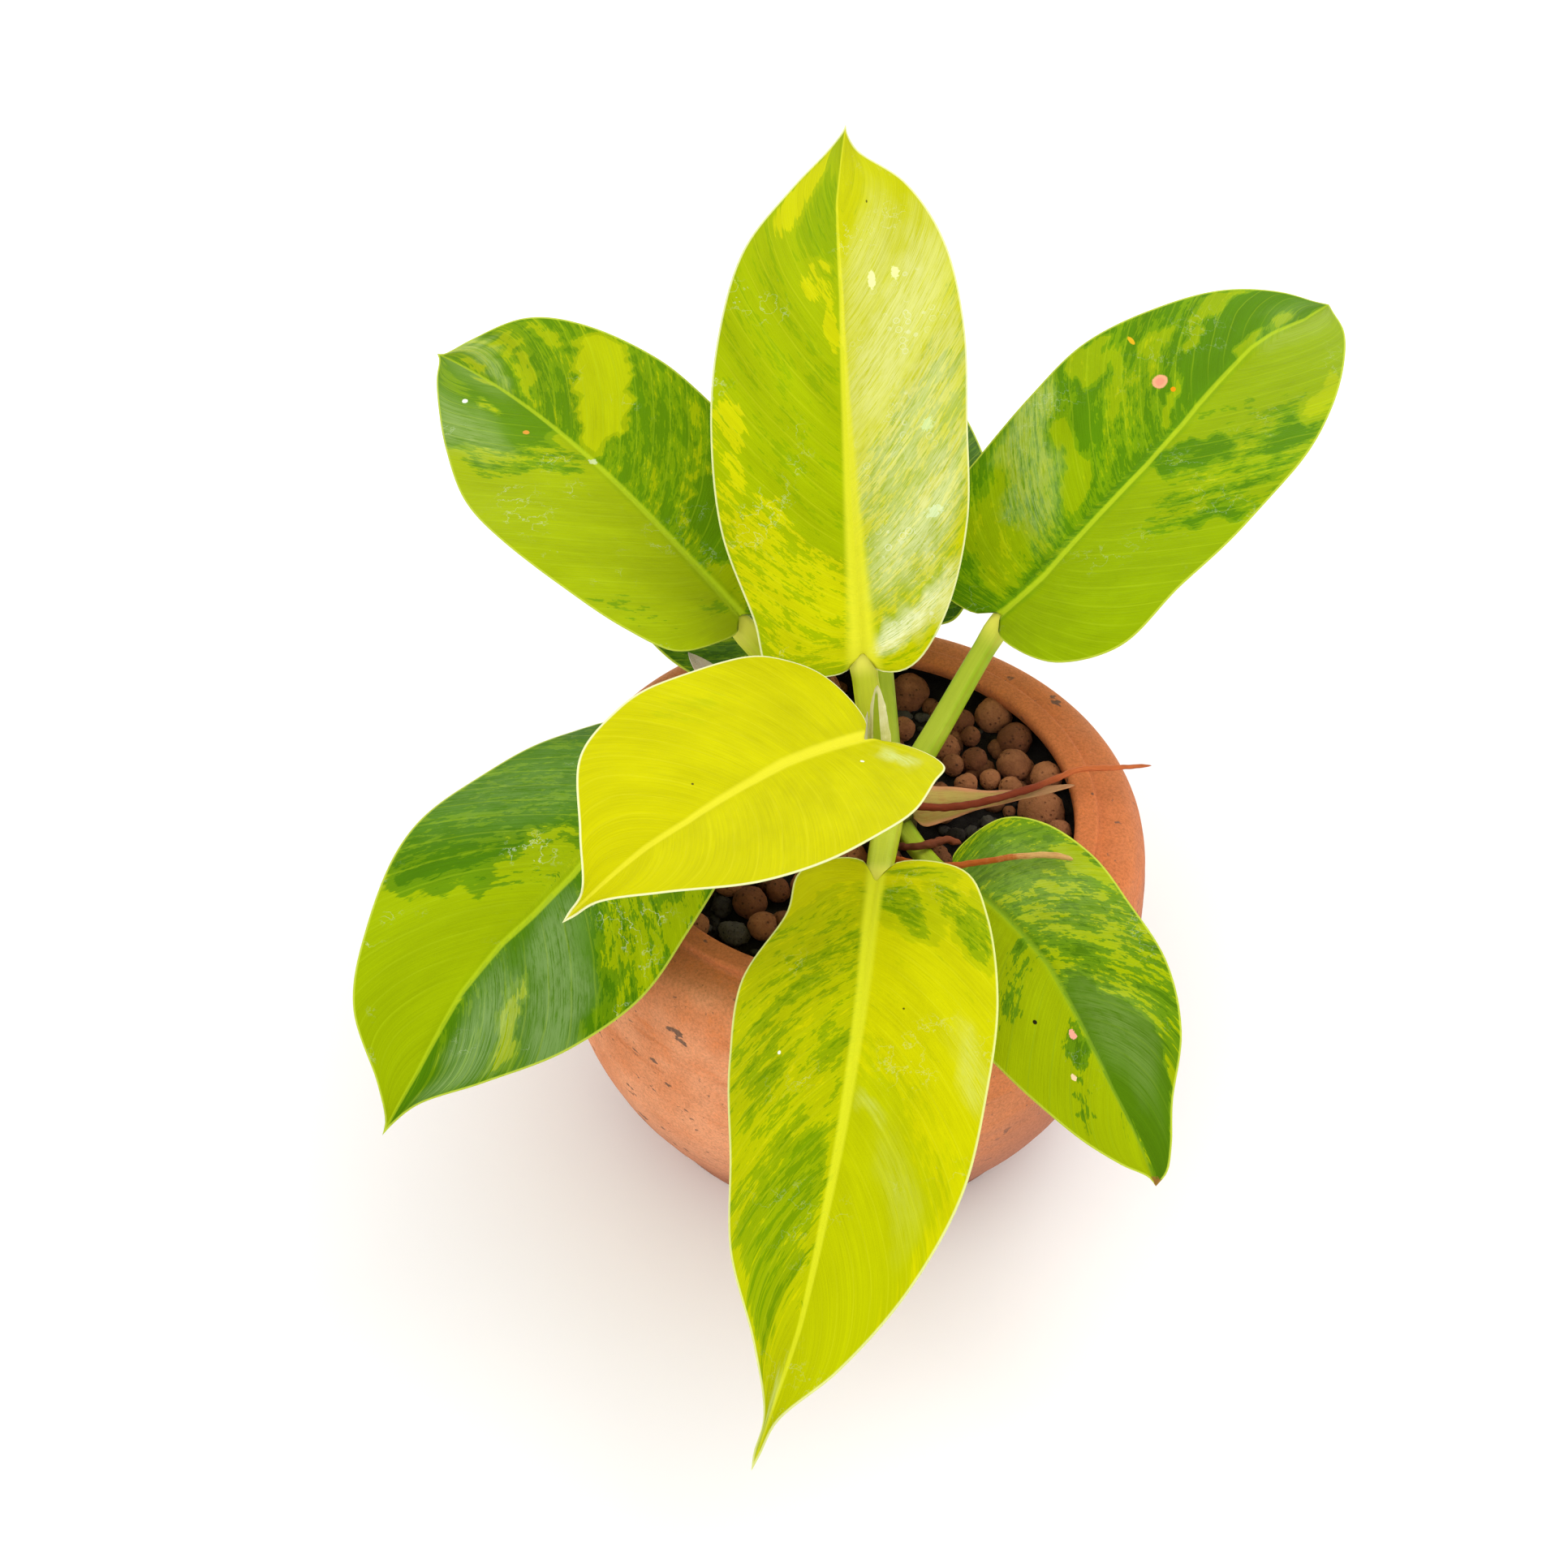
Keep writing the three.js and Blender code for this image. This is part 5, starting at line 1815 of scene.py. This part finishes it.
def leaves() -> list[Leaf]:
    """The nine leaves, from the youngest to the oldest, with their variegation.

    Returns:
        The leaves.
    """
    white = paint(240, 242, 225)
    speck = paint(84, 84, 18)
    return [
        Leaf(
            name="leaf_young", slot=Slot.YELLOW_LEAF, stem_angle=250, stem_height=160,
            base=(2.6, -35.3, 222.4), length=173, azimuth=226, bend=12.5, elevation=25.5, rise=-21.5,
            roll=-3, twist=-9, fold=15.7, cup=0.14, wave=0.8, petiole=9,
            left=Half(10.5, 0.42, (41, 50.5, 54, 50.5, 41, 19.5, 4, 1.6), 0.43),
            right=Half(9.5, 0.39, (46.5, 50, 51, 48.5, 40.5, 18.5, 3, 1)),
            marking=Marking(
                left=(1.2, 0.05), right=(1.2, 0.05), rib_width=3.4, rib_fade=0.8,
                drift=((0, 0), (0.2, 0), (0.4, -0.3), (0.5, 0.8), (0.7, 1.3), (0.8, 0), (1, 0)),
                patches=rows(Patch, (0.47, -0.7, 0.14, 0.24, 0.62, 0.12, 0.9)),
                painted_sheens=rows(Patch, (0.17, 0.55, 0.035, 0.16, 0.6, 0, 0.6)),
                spots=rows(
                    Spot, (0.25, 0.35, 0.006, 0.02, white), (0.62, -0.2, 0.003, 0.01, paint(90, 80, 20)),
                ),
            ),
            body=paint(206, 210, 40), channel=paint(224, 224, 90), foot=paint(170, 190, 40),
            colours=dict(
                yellow=paint(217, 214, 0), lime=paint(206, 209, 1), cream=paint(226, 220, 50), ribbing=0.1,
                margin=paint(240, 240, 190), gloss=0.42, sheen_strength=1.0, traces=0.0,
            ),
        ),
        Leaf(
            name="leaf_top", slot=Slot.YELLOW_LEAF, stem_angle=115, stem_height=160, base=(2.7, 22, 212.8),
            length=244, azimuth=97, bend=-9.5, elevation=46, rise=-41, roll=-1, twist=-5, fold=13.5,
            cup=0.12, wave=1, petiole=11,
            left=Half(8, 0.36, (43, 53.5, 55.5, 51.5, 41, 22, 7.5, 1.5)),
            right=Half(8, 0.27, (34.5, 45, 47.5, 48.5, 42.5, 26.5, 6, 0.8), 0.32),
            marking=Marking(
                left=(0.25, 0.5), right=(0.75, 0.42), rib_width=7.5, rib_fade=1.9,
                drift=((0, 0), (0.5, 0.5), (0.7, 1), (0.85, 3), (1, 0)),
                patches=rows(
                    Patch, (0.2, 0.5, 0.15, 0.5, 0.78, 0.6, 0.5), (0.52, 0.5, 0.18, 0.5, 0.05, 0.4, 0.5),
                    (0.8, 0.33, 0.1, 0.24, -0.45, 0.45), (0.85, 0.8, 0.09, 0.16, 0.9, 0.35),
                    (0.7, 0.25, 0.03, 0.18, 0.9, 0.55), (0.64, 0.12, 0.02, 0.08, 0.9, 0.5),
                    (0.75, 0.22, 0.012, 0.08, 0.9, 0.5), (0.43, 0.84, 0.06, 0.12, 0.85, 0.55),
                    (0.12, -0.35, 0.03, 0.2, -0.5, 0.5), (0.34, -0.45, 0.18, 0.45, 0.5, 0.7, 0.5),
                    (0.8, -0.5, 0.3, 0.6, 1.0, 0.35, 0.4),
                ),
                painted_sheens=rows(
                    Patch, (0.13, -0.6, 0.045, 0.35, 0.85, 0, 0.5), (0.3, -0.55, 0.08, 0.4, 0.5, 0, 0.6),
                    (0.45, -0.5, 0.08, 0.5, 0.36, 0, 0.6), (0.6, -0.45, 0.08, 0.5, 0.36, 0, 0.6),
                    (0.72, -0.3, 0.07, 0.3, 0.25, 0, 0.8),
                ),
                spots=rows(
                    Spot, (0.7, -0.28, 0.016, 0.04, paint(232, 236, 170), 0.8, 0.2),
                    (0.69, -0.5, 0.012, 0.04, paint(232, 236, 170), 0.7, 0.3),
                    # These two pale bluish spots are painted sheen: soft streaks of painted highlight.
                    (0.44, -0.66, 0.01, 0.05, paint(206, 230, 170), 0.5, 0.6),
                    (0.31, -0.7, 0.008, 0.07, paint(214, 232, 190), 0.5, 0.8),
                    (0.83, -0.4, 0.003, 0.015, speck, 0.9, 0.05),
                ),
            ),
            body=paint(190, 204, 20), channel=paint(208, 216, 50), foot=paint(160, 184, 30),
            colours=dict(
                dark=paint(138, 172, 2), middle=paint(154, 182, 3), lime=paint(172, 192, 3),
                yellow=paint(211, 214, 6), cream=paint(216, 215, 44), margin=paint(230, 232, 170),
                pale_sheen=paint(236, 238, 190), sheen_strength=0.95, traces=0.2, ribbing=0.12, drops=0.8,
            ),
        ),
        Leaf(
            name="leaf_front", slot=Slot.YELLOW_LEAF, stem_angle=268, stem_height=156,
            base=(7.3, -74.3, 188), length=222, azimuth=267, bend=-19, elevation=-6.5, rise=-30, roll=5.5,
            twist=2.5, fold=-0.6, cup=0.25, wave=1.2, petiole=11,
            left=Half(9.5, 0.38, (41.5, 47, 47.5, 45, 35, 19, 3.5, 1.2)),
            right=Half(11, 0.3, (33, 47.5, 47, 39.5, 31, 12.5, 1.6, 1.2), 0.48),
            marking=Marking(
                left=(0.75, 0.12), right=(0.2, 0.75), rib_width=3.6, rib_fade=0.9,
                drift=((0, 0), (0.2, -1.5), (0.45, -1), (0.7, 0.5), (0.83, 2), (1, 0)),
                patches=rows(
                    Patch, (0.15, 0.28, 0.06, 0.26, -0.45, 0.65), (0.2, 0.78, 0.05, 0.2, -0.35, 0.7),
                    (0.08, 0.65, 0.03, 0.25, -0.1, 0.65), (0.74, 0.45, 0.2, 0.5, 0.35, 0.1, 0.8),
                    (0.06, -0.5, 0.07, 0.6, 0.9, 0.1), (0.28, -0.38, 0.06, 0.26, -0.2, 0.8),
                    (0.36, -0.6, 0.018, 0.22, -0.5, 0.5), (0.45, -0.2, 0.05, 0.12, -0.3, 0.6),
                    (0.47, -0.72, 0.08, 0.16, -0.25, 0.7), (0.7, -0.5, 0.12, 0.42, -0.5, 0.6, 0.2),
                    (0.9, -0.3, 0.05, 0.3, 0.5, 0.2),
                ),
                painted_sheens=rows(
                    Patch, (0.42, 0.84, 0.03, 0.14, 0.35, 0, 0.6), (0.53, 0.18, 0.015, 0.1, 0.35, 0, 0.6),
                    (0.61, 0.55, 0.03, 0.2, 0.15, 0, 0.7), (0.985, -0.5, 0.03, 0.6, 0.7, 0, 0.5),
                ),
                spots=rows(
                    Spot, (0.44, -0.6, 0.003, 0.013, white), (0.36, 0.3, 0.002, 0.01, paint(90, 90, 10)),
                ),
            ),
            body=paint(184, 200, 24), channel=paint(206, 216, 60), foot=paint(160, 180, 30),
            colours=dict(
                dark=paint(128, 162, 3), middle=paint(158, 182, 4), lime=paint(198, 206, 3),
                yellow=paint(219, 219, 3), cream=paint(216, 219, 40), margin=paint(226, 230, 150),
                ribbing=0.12, traces=0.1,
            ),
        ),
        Leaf(
            name="leaf_back_right", stem_angle=48, stem_height=156, base=(57.6, 50.2, 209.2), length=232,
            azimuth=44, bend=9, elevation=28.5, rise=-41, roll=-2.5, twist=12.5, fold=13, cup=0.17, wave=1,
            petiole=10,
            left=Half(7, 0.43, (51, 53, 54, 55, 44, 32, 16.5, 4)),
            right=Half(9, 0.3, (57, 58, 58.5, 55.5, 45, 30.5, 17, 5)),
            marking=Marking(
                left=(-0.6, 0.6), right=(0.25, 0.12), rib_width=1.5, rib_fade=0.5, channel=0.9,
                drift=(
                    (0, 0), (0.2, -5.5), (0.4, -5), (0.5, -4.5), (0.6, -2), (0.65, 0), (0.7, 1.5), (0.75, 3),
                    (0.8, 4.5), (0.85, 4), (0.93, 0), (1, 0),
                ),
                patches=rows(
                    Patch, (0.22, 0.18, 0.16, 0.16, -0.3, 0.95), (0.22, 0.42, 0.07, 0.34, 0.42, 0.5),
                    (0.36, 0.65, 0.06, 0.35, -0.05, 0.9), (0.415, 0.4, 0.026, 0.33, 0.45, 0.2, 0.12),
                    (0.53, 0.35, 0.05, 0.25, -0.2, 0.85), (0.49, 0.6, 0.028, 0.25, -0.9, 0.4),
                    (0.555, 0.85, 0.042, 0.12, 0.5, 0.2, 0.12, 0.05), (0.565, 0.6, 0.016, 0.2, 0.45, 0.35),
                    (0.612, 0.16, 0.018, 0.14, 0.45, 0.2, 0.12), (0.645, 0.58, 0.022, 0.16, 0.3, 0.65),
                    (0.75, 0.3, 0.08, 0.28, -1.4, 0.1), (0.87, 0.65, 0.08, 0.3, -1.2, 0.1),
                    (0.71, 0.52, 0.018, 0.09, 0.35, 0.5), (0.78, 0.82, 0.032, 0.14, 0.35, 0.55, 0.3, 0.1),
                    (0.8, 0.17, 0.028, 0.1, 0.4, 0.4), (0.88, 0.25, 0.025, 0.12, 0.4, 0.4),
                    (0.56, -0.68, 0.14, 0.34, -0.1, 0.9), (0.54, -0.3, 0.03, 0.24, -0.8, 0.5, 0.15),
                    (0.455, -0.78, 0.018, 0.18, -0.7, 0.5), (0.63, -0.8, 0.045, 0.12, -0.75, 0.5),
                    (0.665, -0.22, 0.012, 0.17, -0.4, 0.7), (0.73, -0.9, 0.05, 0.08, 0.8, 0.25),
                ),
                painted_sheens=rows(
                    Patch, (0.36, 0.6, 0.05, 0.42, 0.4, 0, 0.5), (0.41, 0.88, 0.05, 0.12, 0.5, 0, 0.6),
                    (0.93, -0.4, 0.05, 0.7, 0.2, 0, 0.8), (0.92, 0.4, 0.05, 0.5, 0.15, 0, 0.8),
                ),
                spots=rows(
                    Spot, (0.622, 0.36, 0.015, 0.06, paint(236, 160, 120), 1.0, 0.06),
                    (0.622, 0.36, 0.009, 0.035, paint(226, 130, 110), 0.6, 0.1),
                    (0.632, 0.24, 0.005, 0.022, paint(236, 140, 10), 1.0, 0.1),
                    (0.628, 0.8, 0.004, 0.05, paint(224, 170, 30), 0.9, 0.1),
                ),
            ),
            colours=dict(dark=paint(94, 144, 5), middle=paint(124, 166, 5), lime=paint(156, 184, 3)),
        ),
        Leaf(
            name="leaf_back_left", stem_angle=138, stem_height=156, base=(-45.6, 50.8, 206.1), length=220,
            azimuth=129, bend=0.5, elevation=17.5, rise=-33.5, roll=1, twist=-30, fold=16, cup=0.14, wave=1,
            petiole=11,
            left=Half(8, 0.3, (51.5, 57.5, 61, 56, 41.5, 25.5, 12, 2.5)),
            right=Half(9, 0.42, (49, 54, 52, 50.5, 44, 31.5, 12, 1.5)),
            marking=Marking(
                left=(0.32, 0.14), right=(-0.5, 0.7), rib_width=2.2, rib_fade=0.9, channel=0.5,
                drift=((0, 0), (0.3, 1.5), (0.4, 1.3), (0.5, 1), (0.7, 0.5), (1, 0)),
                patches=rows(
                    Patch, (0.12, 0.25, 0.06, 0.16, -0.1, 0.3, 0.6), (0.24, 0.8, 0.06, 0.25, 0.05, 0.3, 0.6),
                    (0.86, 0.5, 0.21, 0.6, -1.0, 0.25, 0.1, -0.1),
                    (0.62, 0.45, 0.045, 0.45, -0.3, 0.85, 0.25, -0.08),
                    (0.93, 0.7, 0.07, 0.4, -0.4, 0.3, 0.5), (0.78, 0.35, 0.02, 0.1, 0.0, 0.8),
                    (0.86, 0.08, 0.02, 0.06, 0.2, 0.6), (0.13, -0.12, 0.12, 0.14, 0.1, 0.3),
                    (0.3, -0.35, 0.07, 0.2, -1.1, 0.3), (0.385, -0.4, 0.01, 0.35, 0.2, 0.6),
                    (0.625, -0.48, 0.052, 0.46, 1.0, 0.1, 0.1, -0.08), (0.8, -0.42, 0.015, 0.4, 0.35, 0.5),
                    (0.755, -0.78, 0.03, 0.2, 0.3, 0.6, 0.3, 0.1), (0.91, -0.2, 0.02, 0.14, 0.4, 0.4),
                    (0.91, -0.65, 0.03, 0.3, 0.1, 0.7),
                ),
                painted_sheens=rows(
                    Patch, (0.76, 0.75, 0.08, 0.26, 0.4, 0, 0.6), (0.72, 0.77, 0.015, 0.07, 0.8, 0, 0.6),
                    (0.87, -0.3, 0.03, 0.3, 0.45, 0, 0.6), (0.94, -0.8, 0.04, 0.3, 0.6, 0, 0.6),
                    (0.9, 0.1, 0.08, 0.2, 0.25, 0, 0.8),
                ),
                spots=rows(
                    Spot, (0.825, 0.57, 0.007, 0.045, white, 1.0, 0.2),
                    (0.686, 0.25, 0.006, 0.03, paint(224, 150, 60), 0.9, 0.15),
                    (0.565, 0.02, 0.008, 0.03, white, 0.4, 0.3),
                ),
            ),
            body=paint(184, 200, 20), channel=paint(206, 214, 50), foot=paint(170, 180, 40),
            colours=dict(
                dark=paint(104, 150, 5), middle=paint(132, 170, 5), lime=paint(174, 194, 3),
                yellow=paint(198, 211, 4), traces=0.25,
            ),
        ),
        Leaf(
            name="leaf_front_left", stem_angle=185, stem_height=152, base=(-68.2, 0.5, 180), length=193,
            azimuth=233, bend=4, elevation=2, rise=-36, roll=14.5, twist=-32.5, fold=2.5, cup=0.15, wave=1,
            petiole=10,
            left=Half(6, 0.42, (52, 55.5, 59, 57.5, 45, 23.5, 6, 1.3)),
            right=Half(6, 0.34, (51, 58.5, 63.5, 60, 48.5, 34, 11, 1.5)),
            marking=Marking(
                left=(-0.65, 0.36), right=(0.3, 0.1), rib_width=2.0, rib_fade=0.6, channel=0.4,
                drift=(
                    (0, 0), (0.3, 4.5), (0.45, 6.5), (0.5, 6.5), (0.6, 3.5), (0.67, 0), (0.77, -2), (0.9, 0),
                    (1, 0),
                ),
                patches=rows(
                    Patch, (0.44, 0.9, 0.06, 0.1, 0.2, 0.6), (0.52, 0.72, 0.065, 0.3, 0.05, 0.9),
                    (0.64, 0.5, 0.07, 0.5, -0.9, 0.3), (0.75, 0.58, 0.022, 0.28, 0.25, 0.7),
                    (0.86, 0.5, 0.07, 0.5, -0.65, 0.65), (0.29, -0.5, 0.315, 0.62, -0.62, 0.34, 0.12, -0.04),
                    (0.51, -0.14, 0.055, 0.16, 0.25, 0.55), (0.44, -0.25, 0.02, 0.16, 0.2, 0.65),
                    (0.8, -0.5, 0.1, 0.5, 0.45, 0.12, 0.5),
                ),
                painted_sheens=rows(
                    Patch, (0.66, 0.6, 0.06, 0.5, 0.5, 0, 0.5), (0.8, 0.5, 0.08, 0.4, 0.55, 0, 0.5),
                    (0.6, 0.3, 0.06, 0.2, 0.45, 0, 0.6), (0.35, -0.6, 0.1, 0.4, 0.22, 0, 0.8),
                ),
            ),
            colours=dict(
                dark=paint(84, 134, 8), middle=paint(114, 156, 10), lime=paint(168, 191, 4),
                pale_sheen=paint(186, 208, 150), traces=0.4, sheen_strength=0.5, ribbing=0.16,
            ),
        ),
        Leaf(
            name="leaf_front_right", stem_angle=305, stem_height=148, sag=5, base=(37.1, -50.2, 165),
            length=146, azimuth=311, bend=-17.5, elevation=6, rise=-47, roll=12.5, twist=0, fold=4, cup=0.13,
            wave=1, petiole=8,
            left=Half(7, 0.4, (40, 44, 41, 39.5, 30.5, 16.5, 10, 5.5)),
            right=Half(8, 0.42, (37.5, 41.5, 42, 37.5, 30.5, 21, 10, 1.5)),
            marking=Marking(
                left=(-0.2, 0.75), right=(0.35, 0.3), rib_width=1.3, rib_fade=0.6, channel=0.3,
                drift=(
                    (0, 0), (0.3, 1.5), (0.5, 1.5), (0.6, -0.5), (0.7, -2), (0.8, -2.5), (0.9, -1), (1, 0),
                ),
                patches=rows(
                    Patch, (0.15, 0.4, 0.12, 0.5, -0.55, 0.6), (0.35, 0.88, 0.06, 0.12, 0.35, 0.5),
                    (0.83, 0.42, 0.2, 0.5, -1.1, 0.15, 0.08, 0.1), (0.435, -0.12, 0.02, 0.1, -0.6, 0.5),
                    (0.49, -0.34, 0.055, 0.34, 0.0, 0.8, 0.4), (0.69, -0.24, 0.045, 0.16, -0.6, 0.7),
                    (0.8, -0.62, 0.02, 0.3, -0.35, 0.7), (0.84, -0.22, 0.05, 0.2, 0.15, 0.65, 0.5),
                ),
                painted_sheens=rows(Patch, (0.7, 0.35, 0.1, 0.3, 0.2, 0, 0.8), (0.3, 0.5, 0.15, 0.4, 0.2, 0, 0.8)),
                spots=rows(
                    Spot, (0.66, -0.18, 0.012, 0.042, paint(236, 160, 140), 1.0, 0.35),
                    (0.73, -0.46, 0.008, 0.032, paint(240, 200, 160), 1.0, 0.3),
                    (0.587, -0.42, 0.006, 0.022, paint(30, 25, 15), 1.0, 0.05),
                    (1.0, 0.1, 0.02, 1.2, paint(150, 96, 50), 0.85, 0.3),
                ),
            ),
            colours=dict(
                dark=paint(88, 132, 12), middle=paint(112, 154, 16), lime=paint(172, 192, 6),
                yellow=paint(182, 196, 10), cream=paint(124, 156, 30),
            ),
        ),
        Leaf(
            name="leaf_back_low", stem_angle=80, stem_height=152, base=(12, 85, 180), length=195, azimuth=83,
            bend=2, elevation=8, rise=-30, roll=0, twist=0, fold=8, cup=0.15, wave=0.8, petiole=8,
            left=Half(8, 0.42, (37, 42, 43, 40, 32, 20, 9, 2)),
            right=Half(8, 0.42, (37, 42, 41, 36, 28, 19, 9, 2)),
            marking=Marking(
                left=(-0.5, 0.7), right=(-0.7, 0.5), rib_width=1.6, rib_fade=0.8,
                patches=rows(Patch, (0.6, 0.5, 0.08, 0.4, 0.2, 0.7), (0.35, -0.6, 0.06, 0.3, 0.1, 0.8)),
            ),
            colours=dict(dark=paint(70, 112, 10), middle=paint(98, 140, 10)),
        ),
        Leaf(
            name="leaf_left_low", stem_angle=110, stem_height=151, base=(-30, 58, 172), length=138,
            azimuth=124, bend=0, elevation=4, rise=-22, roll=0, twist=0, fold=6, cup=0.15, wave=0.8,
            petiole=8,
            left=Half(8, 0.42, (32, 36, 37, 34, 27, 17, 7, 2)),
            right=Half(8, 0.42, (28, 32, 33, 31, 25, 16, 7, 2)),
            marking=Marking(
                left=(-0.5, 0.6), right=(-0.4, 0.7), rib_width=1.6, rib_fade=0.8,
                patches=rows(Patch, (0.4, 0.5, 0.08, 0.4, 0.3, 0.6), (0.7, -0.4, 0.08, 0.3, 0.2, 0.7)),
            ),
            colours=dict(dark=paint(74, 118, 10), middle=paint(100, 144, 10)),
        ),
    ]


def scales() -> list[Scale]:
    """The dried scale at the right of the crown and the pink one behind it.

    Returns:
        The scales.
    """
    return [
        Scale(
            name="dried_cataphyll", base=(24, -6.5, 154.5), length=66, azimuth=3, bend=14, elevation=6,
            rise=-4, roll=24, twist=-16, fold=14, cup=0.2, wave=0, rows=60,
            left=Half(0, 0.3, (9.5, 9, 6.5, 4, 2.6, 1.8, 1.3, 0.9)),
            right=Half(0, 0.3, (7.5, 6, 3.5, 2.4, 1.8, 1.4, 1.1, 0.8)),
            finish=SkinFinish(
                "dry_scale", paint(204, 178, 92), paint(228, 172, 118), paint(184, 104, 64), (0.3, 0.9), 0.5,
                rim=paint(226, 150, 110),
            ),
        ),
        Scale(
            name="pink_cataphyll", base=(3.5, 5.5, 155), length=90, azimuth=156, bend=-20, elevation=16,
            rise=6, roll=0, twist=0, fold=10, cup=0.25, wave=0, rows=60,
            left=Half(0, 0.3, (4, 5, 6, 6.5, 6.5, 5.5, 3.5, 1.6)),
            right=Half(0, 0.3, (4, 5, 6, 6.5, 6.5, 5.5, 3.5, 1.6)),
            finish=SkinFinish(
                "pink_scale", paint(206, 206, 150), paint(232, 214, 200), paint(214, 176, 160), (0.2, 0.7),
                0.45,
            ),
        ),
    ]


def shoots() -> list[Shoot]:
    """The rolled new leaf, its sheath and the three aerial roots.

    Returns:
        The shoots.
    """
    root = SkinFinish(
        "red_root", paint(146, 58, 26), paint(242, 128, 66), paint(136, 66, 40), (0.4, 0.75), 0.5
    )
    brown = SkinFinish(
        "brown_root", paint(128, 64, 38), paint(172, 92, 54), paint(76, 40, 28), (0.4, 1.0), 0.7
    )
    orange = SkinFinish(
        "orange_root", paint(206, 102, 28), paint(246, 194, 116), paint(172, 88, 36), (0.6, 0.75), 0.55
    )
    rolled = SkinFinish(
        "rolled_leaf", paint(206, 208, 70), paint(238, 232, 160), paint(244, 240, 196), (0.2, 0.8), 0.4,
        cleft=paint(168, 186, 30),
    )
    sheath = SkinFinish(
        "pale_sheath", paint(222, 220, 100), paint(240, 234, 180), paint(206, 214, 90), (0.4, 0.9), 0.45
    )
    return [
        Shoot(
            "new_leaf_spear", Slot.NEW_GROWTH,
            ((13, -1, 152, 8), (11.5, -0.5, 170, 9), (9.7, 0.4, 190, 9), (8.6, 1.5, 205, 6),
             (8, 2, 215, 1.4)),
            rolled, 0.05, 2,
        ),
        Shoot(
            "spear_sheath", Slot.SCALES,
            ((9.2, -6.4, 154, 4), (5.6, -4.4, 170, 3.8), (3.8, -2.4, 186, 3.4), (4.6, 0, 203, 0.9)),
            sheath, 0.05, 2,
        ),
        Shoot(
            "aerial_root_right", Slot.ROOTS,
            ((20, -7, 160, 3.4), (32, -9.5, 160, 3.2), (48, -8, 161, 3), (70, 0, 161.5, 3),
             (81, 5, 162.5, 2.6), (90, 8.5, 164, 2.4), (104.5, 11, 163, 2.2), (120, 15.5, 160, 1.4)),
            root, 0.22,
        ),
        Shoot(
            "aerial_root_short", Slot.ROOTS,
            ((15.5, -10, 149, 3.4), (16.5, -22, 151.5, 3.2), (27, -27.5, 157, 3), (37, -20, 152.5, 3.4),
             (43, -19.5, 150, 2)), brown, 0.45,
        ),
        Shoot(
            "aerial_root_front", Slot.ROOTS,
            ((12, -11.5, 147, 3), (11.5, -27, 153.5, 3), (20, -45, 166.5, 2.8), (36, -52.4, 172.5, 2.6),
             (48, -52, 174.5, 2.4), (63, -50.2, 176, 2.4), (76, -51, 177.5, 2.4), (82.5, -53, 177.5, 1.6)),
            orange, 0.2,
        ),
    ]


def write_sizes() -> None:
    """Brings the view layer up to date."""
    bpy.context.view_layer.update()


def main() -> None:
    """Builds the studio, the pot, its filling and the plant, in that order."""
    logging.basicConfig(level=logging.INFO, format="%(message)s")
    PhotoCamera().build()
    Studio().build()
    report(Pot().build())
    filling = Filling()
    report(filling.build_medium())
    report(filling.build_pebbles())
    report(Stem().build())
    for shoot in shoots():
        report(shoot.build())
    for leaf in leaves():
        report(leaf.build())
    for scale in scales():
        report(scale.build())
    write_sizes()


if __name__ == "__main__":
    main()
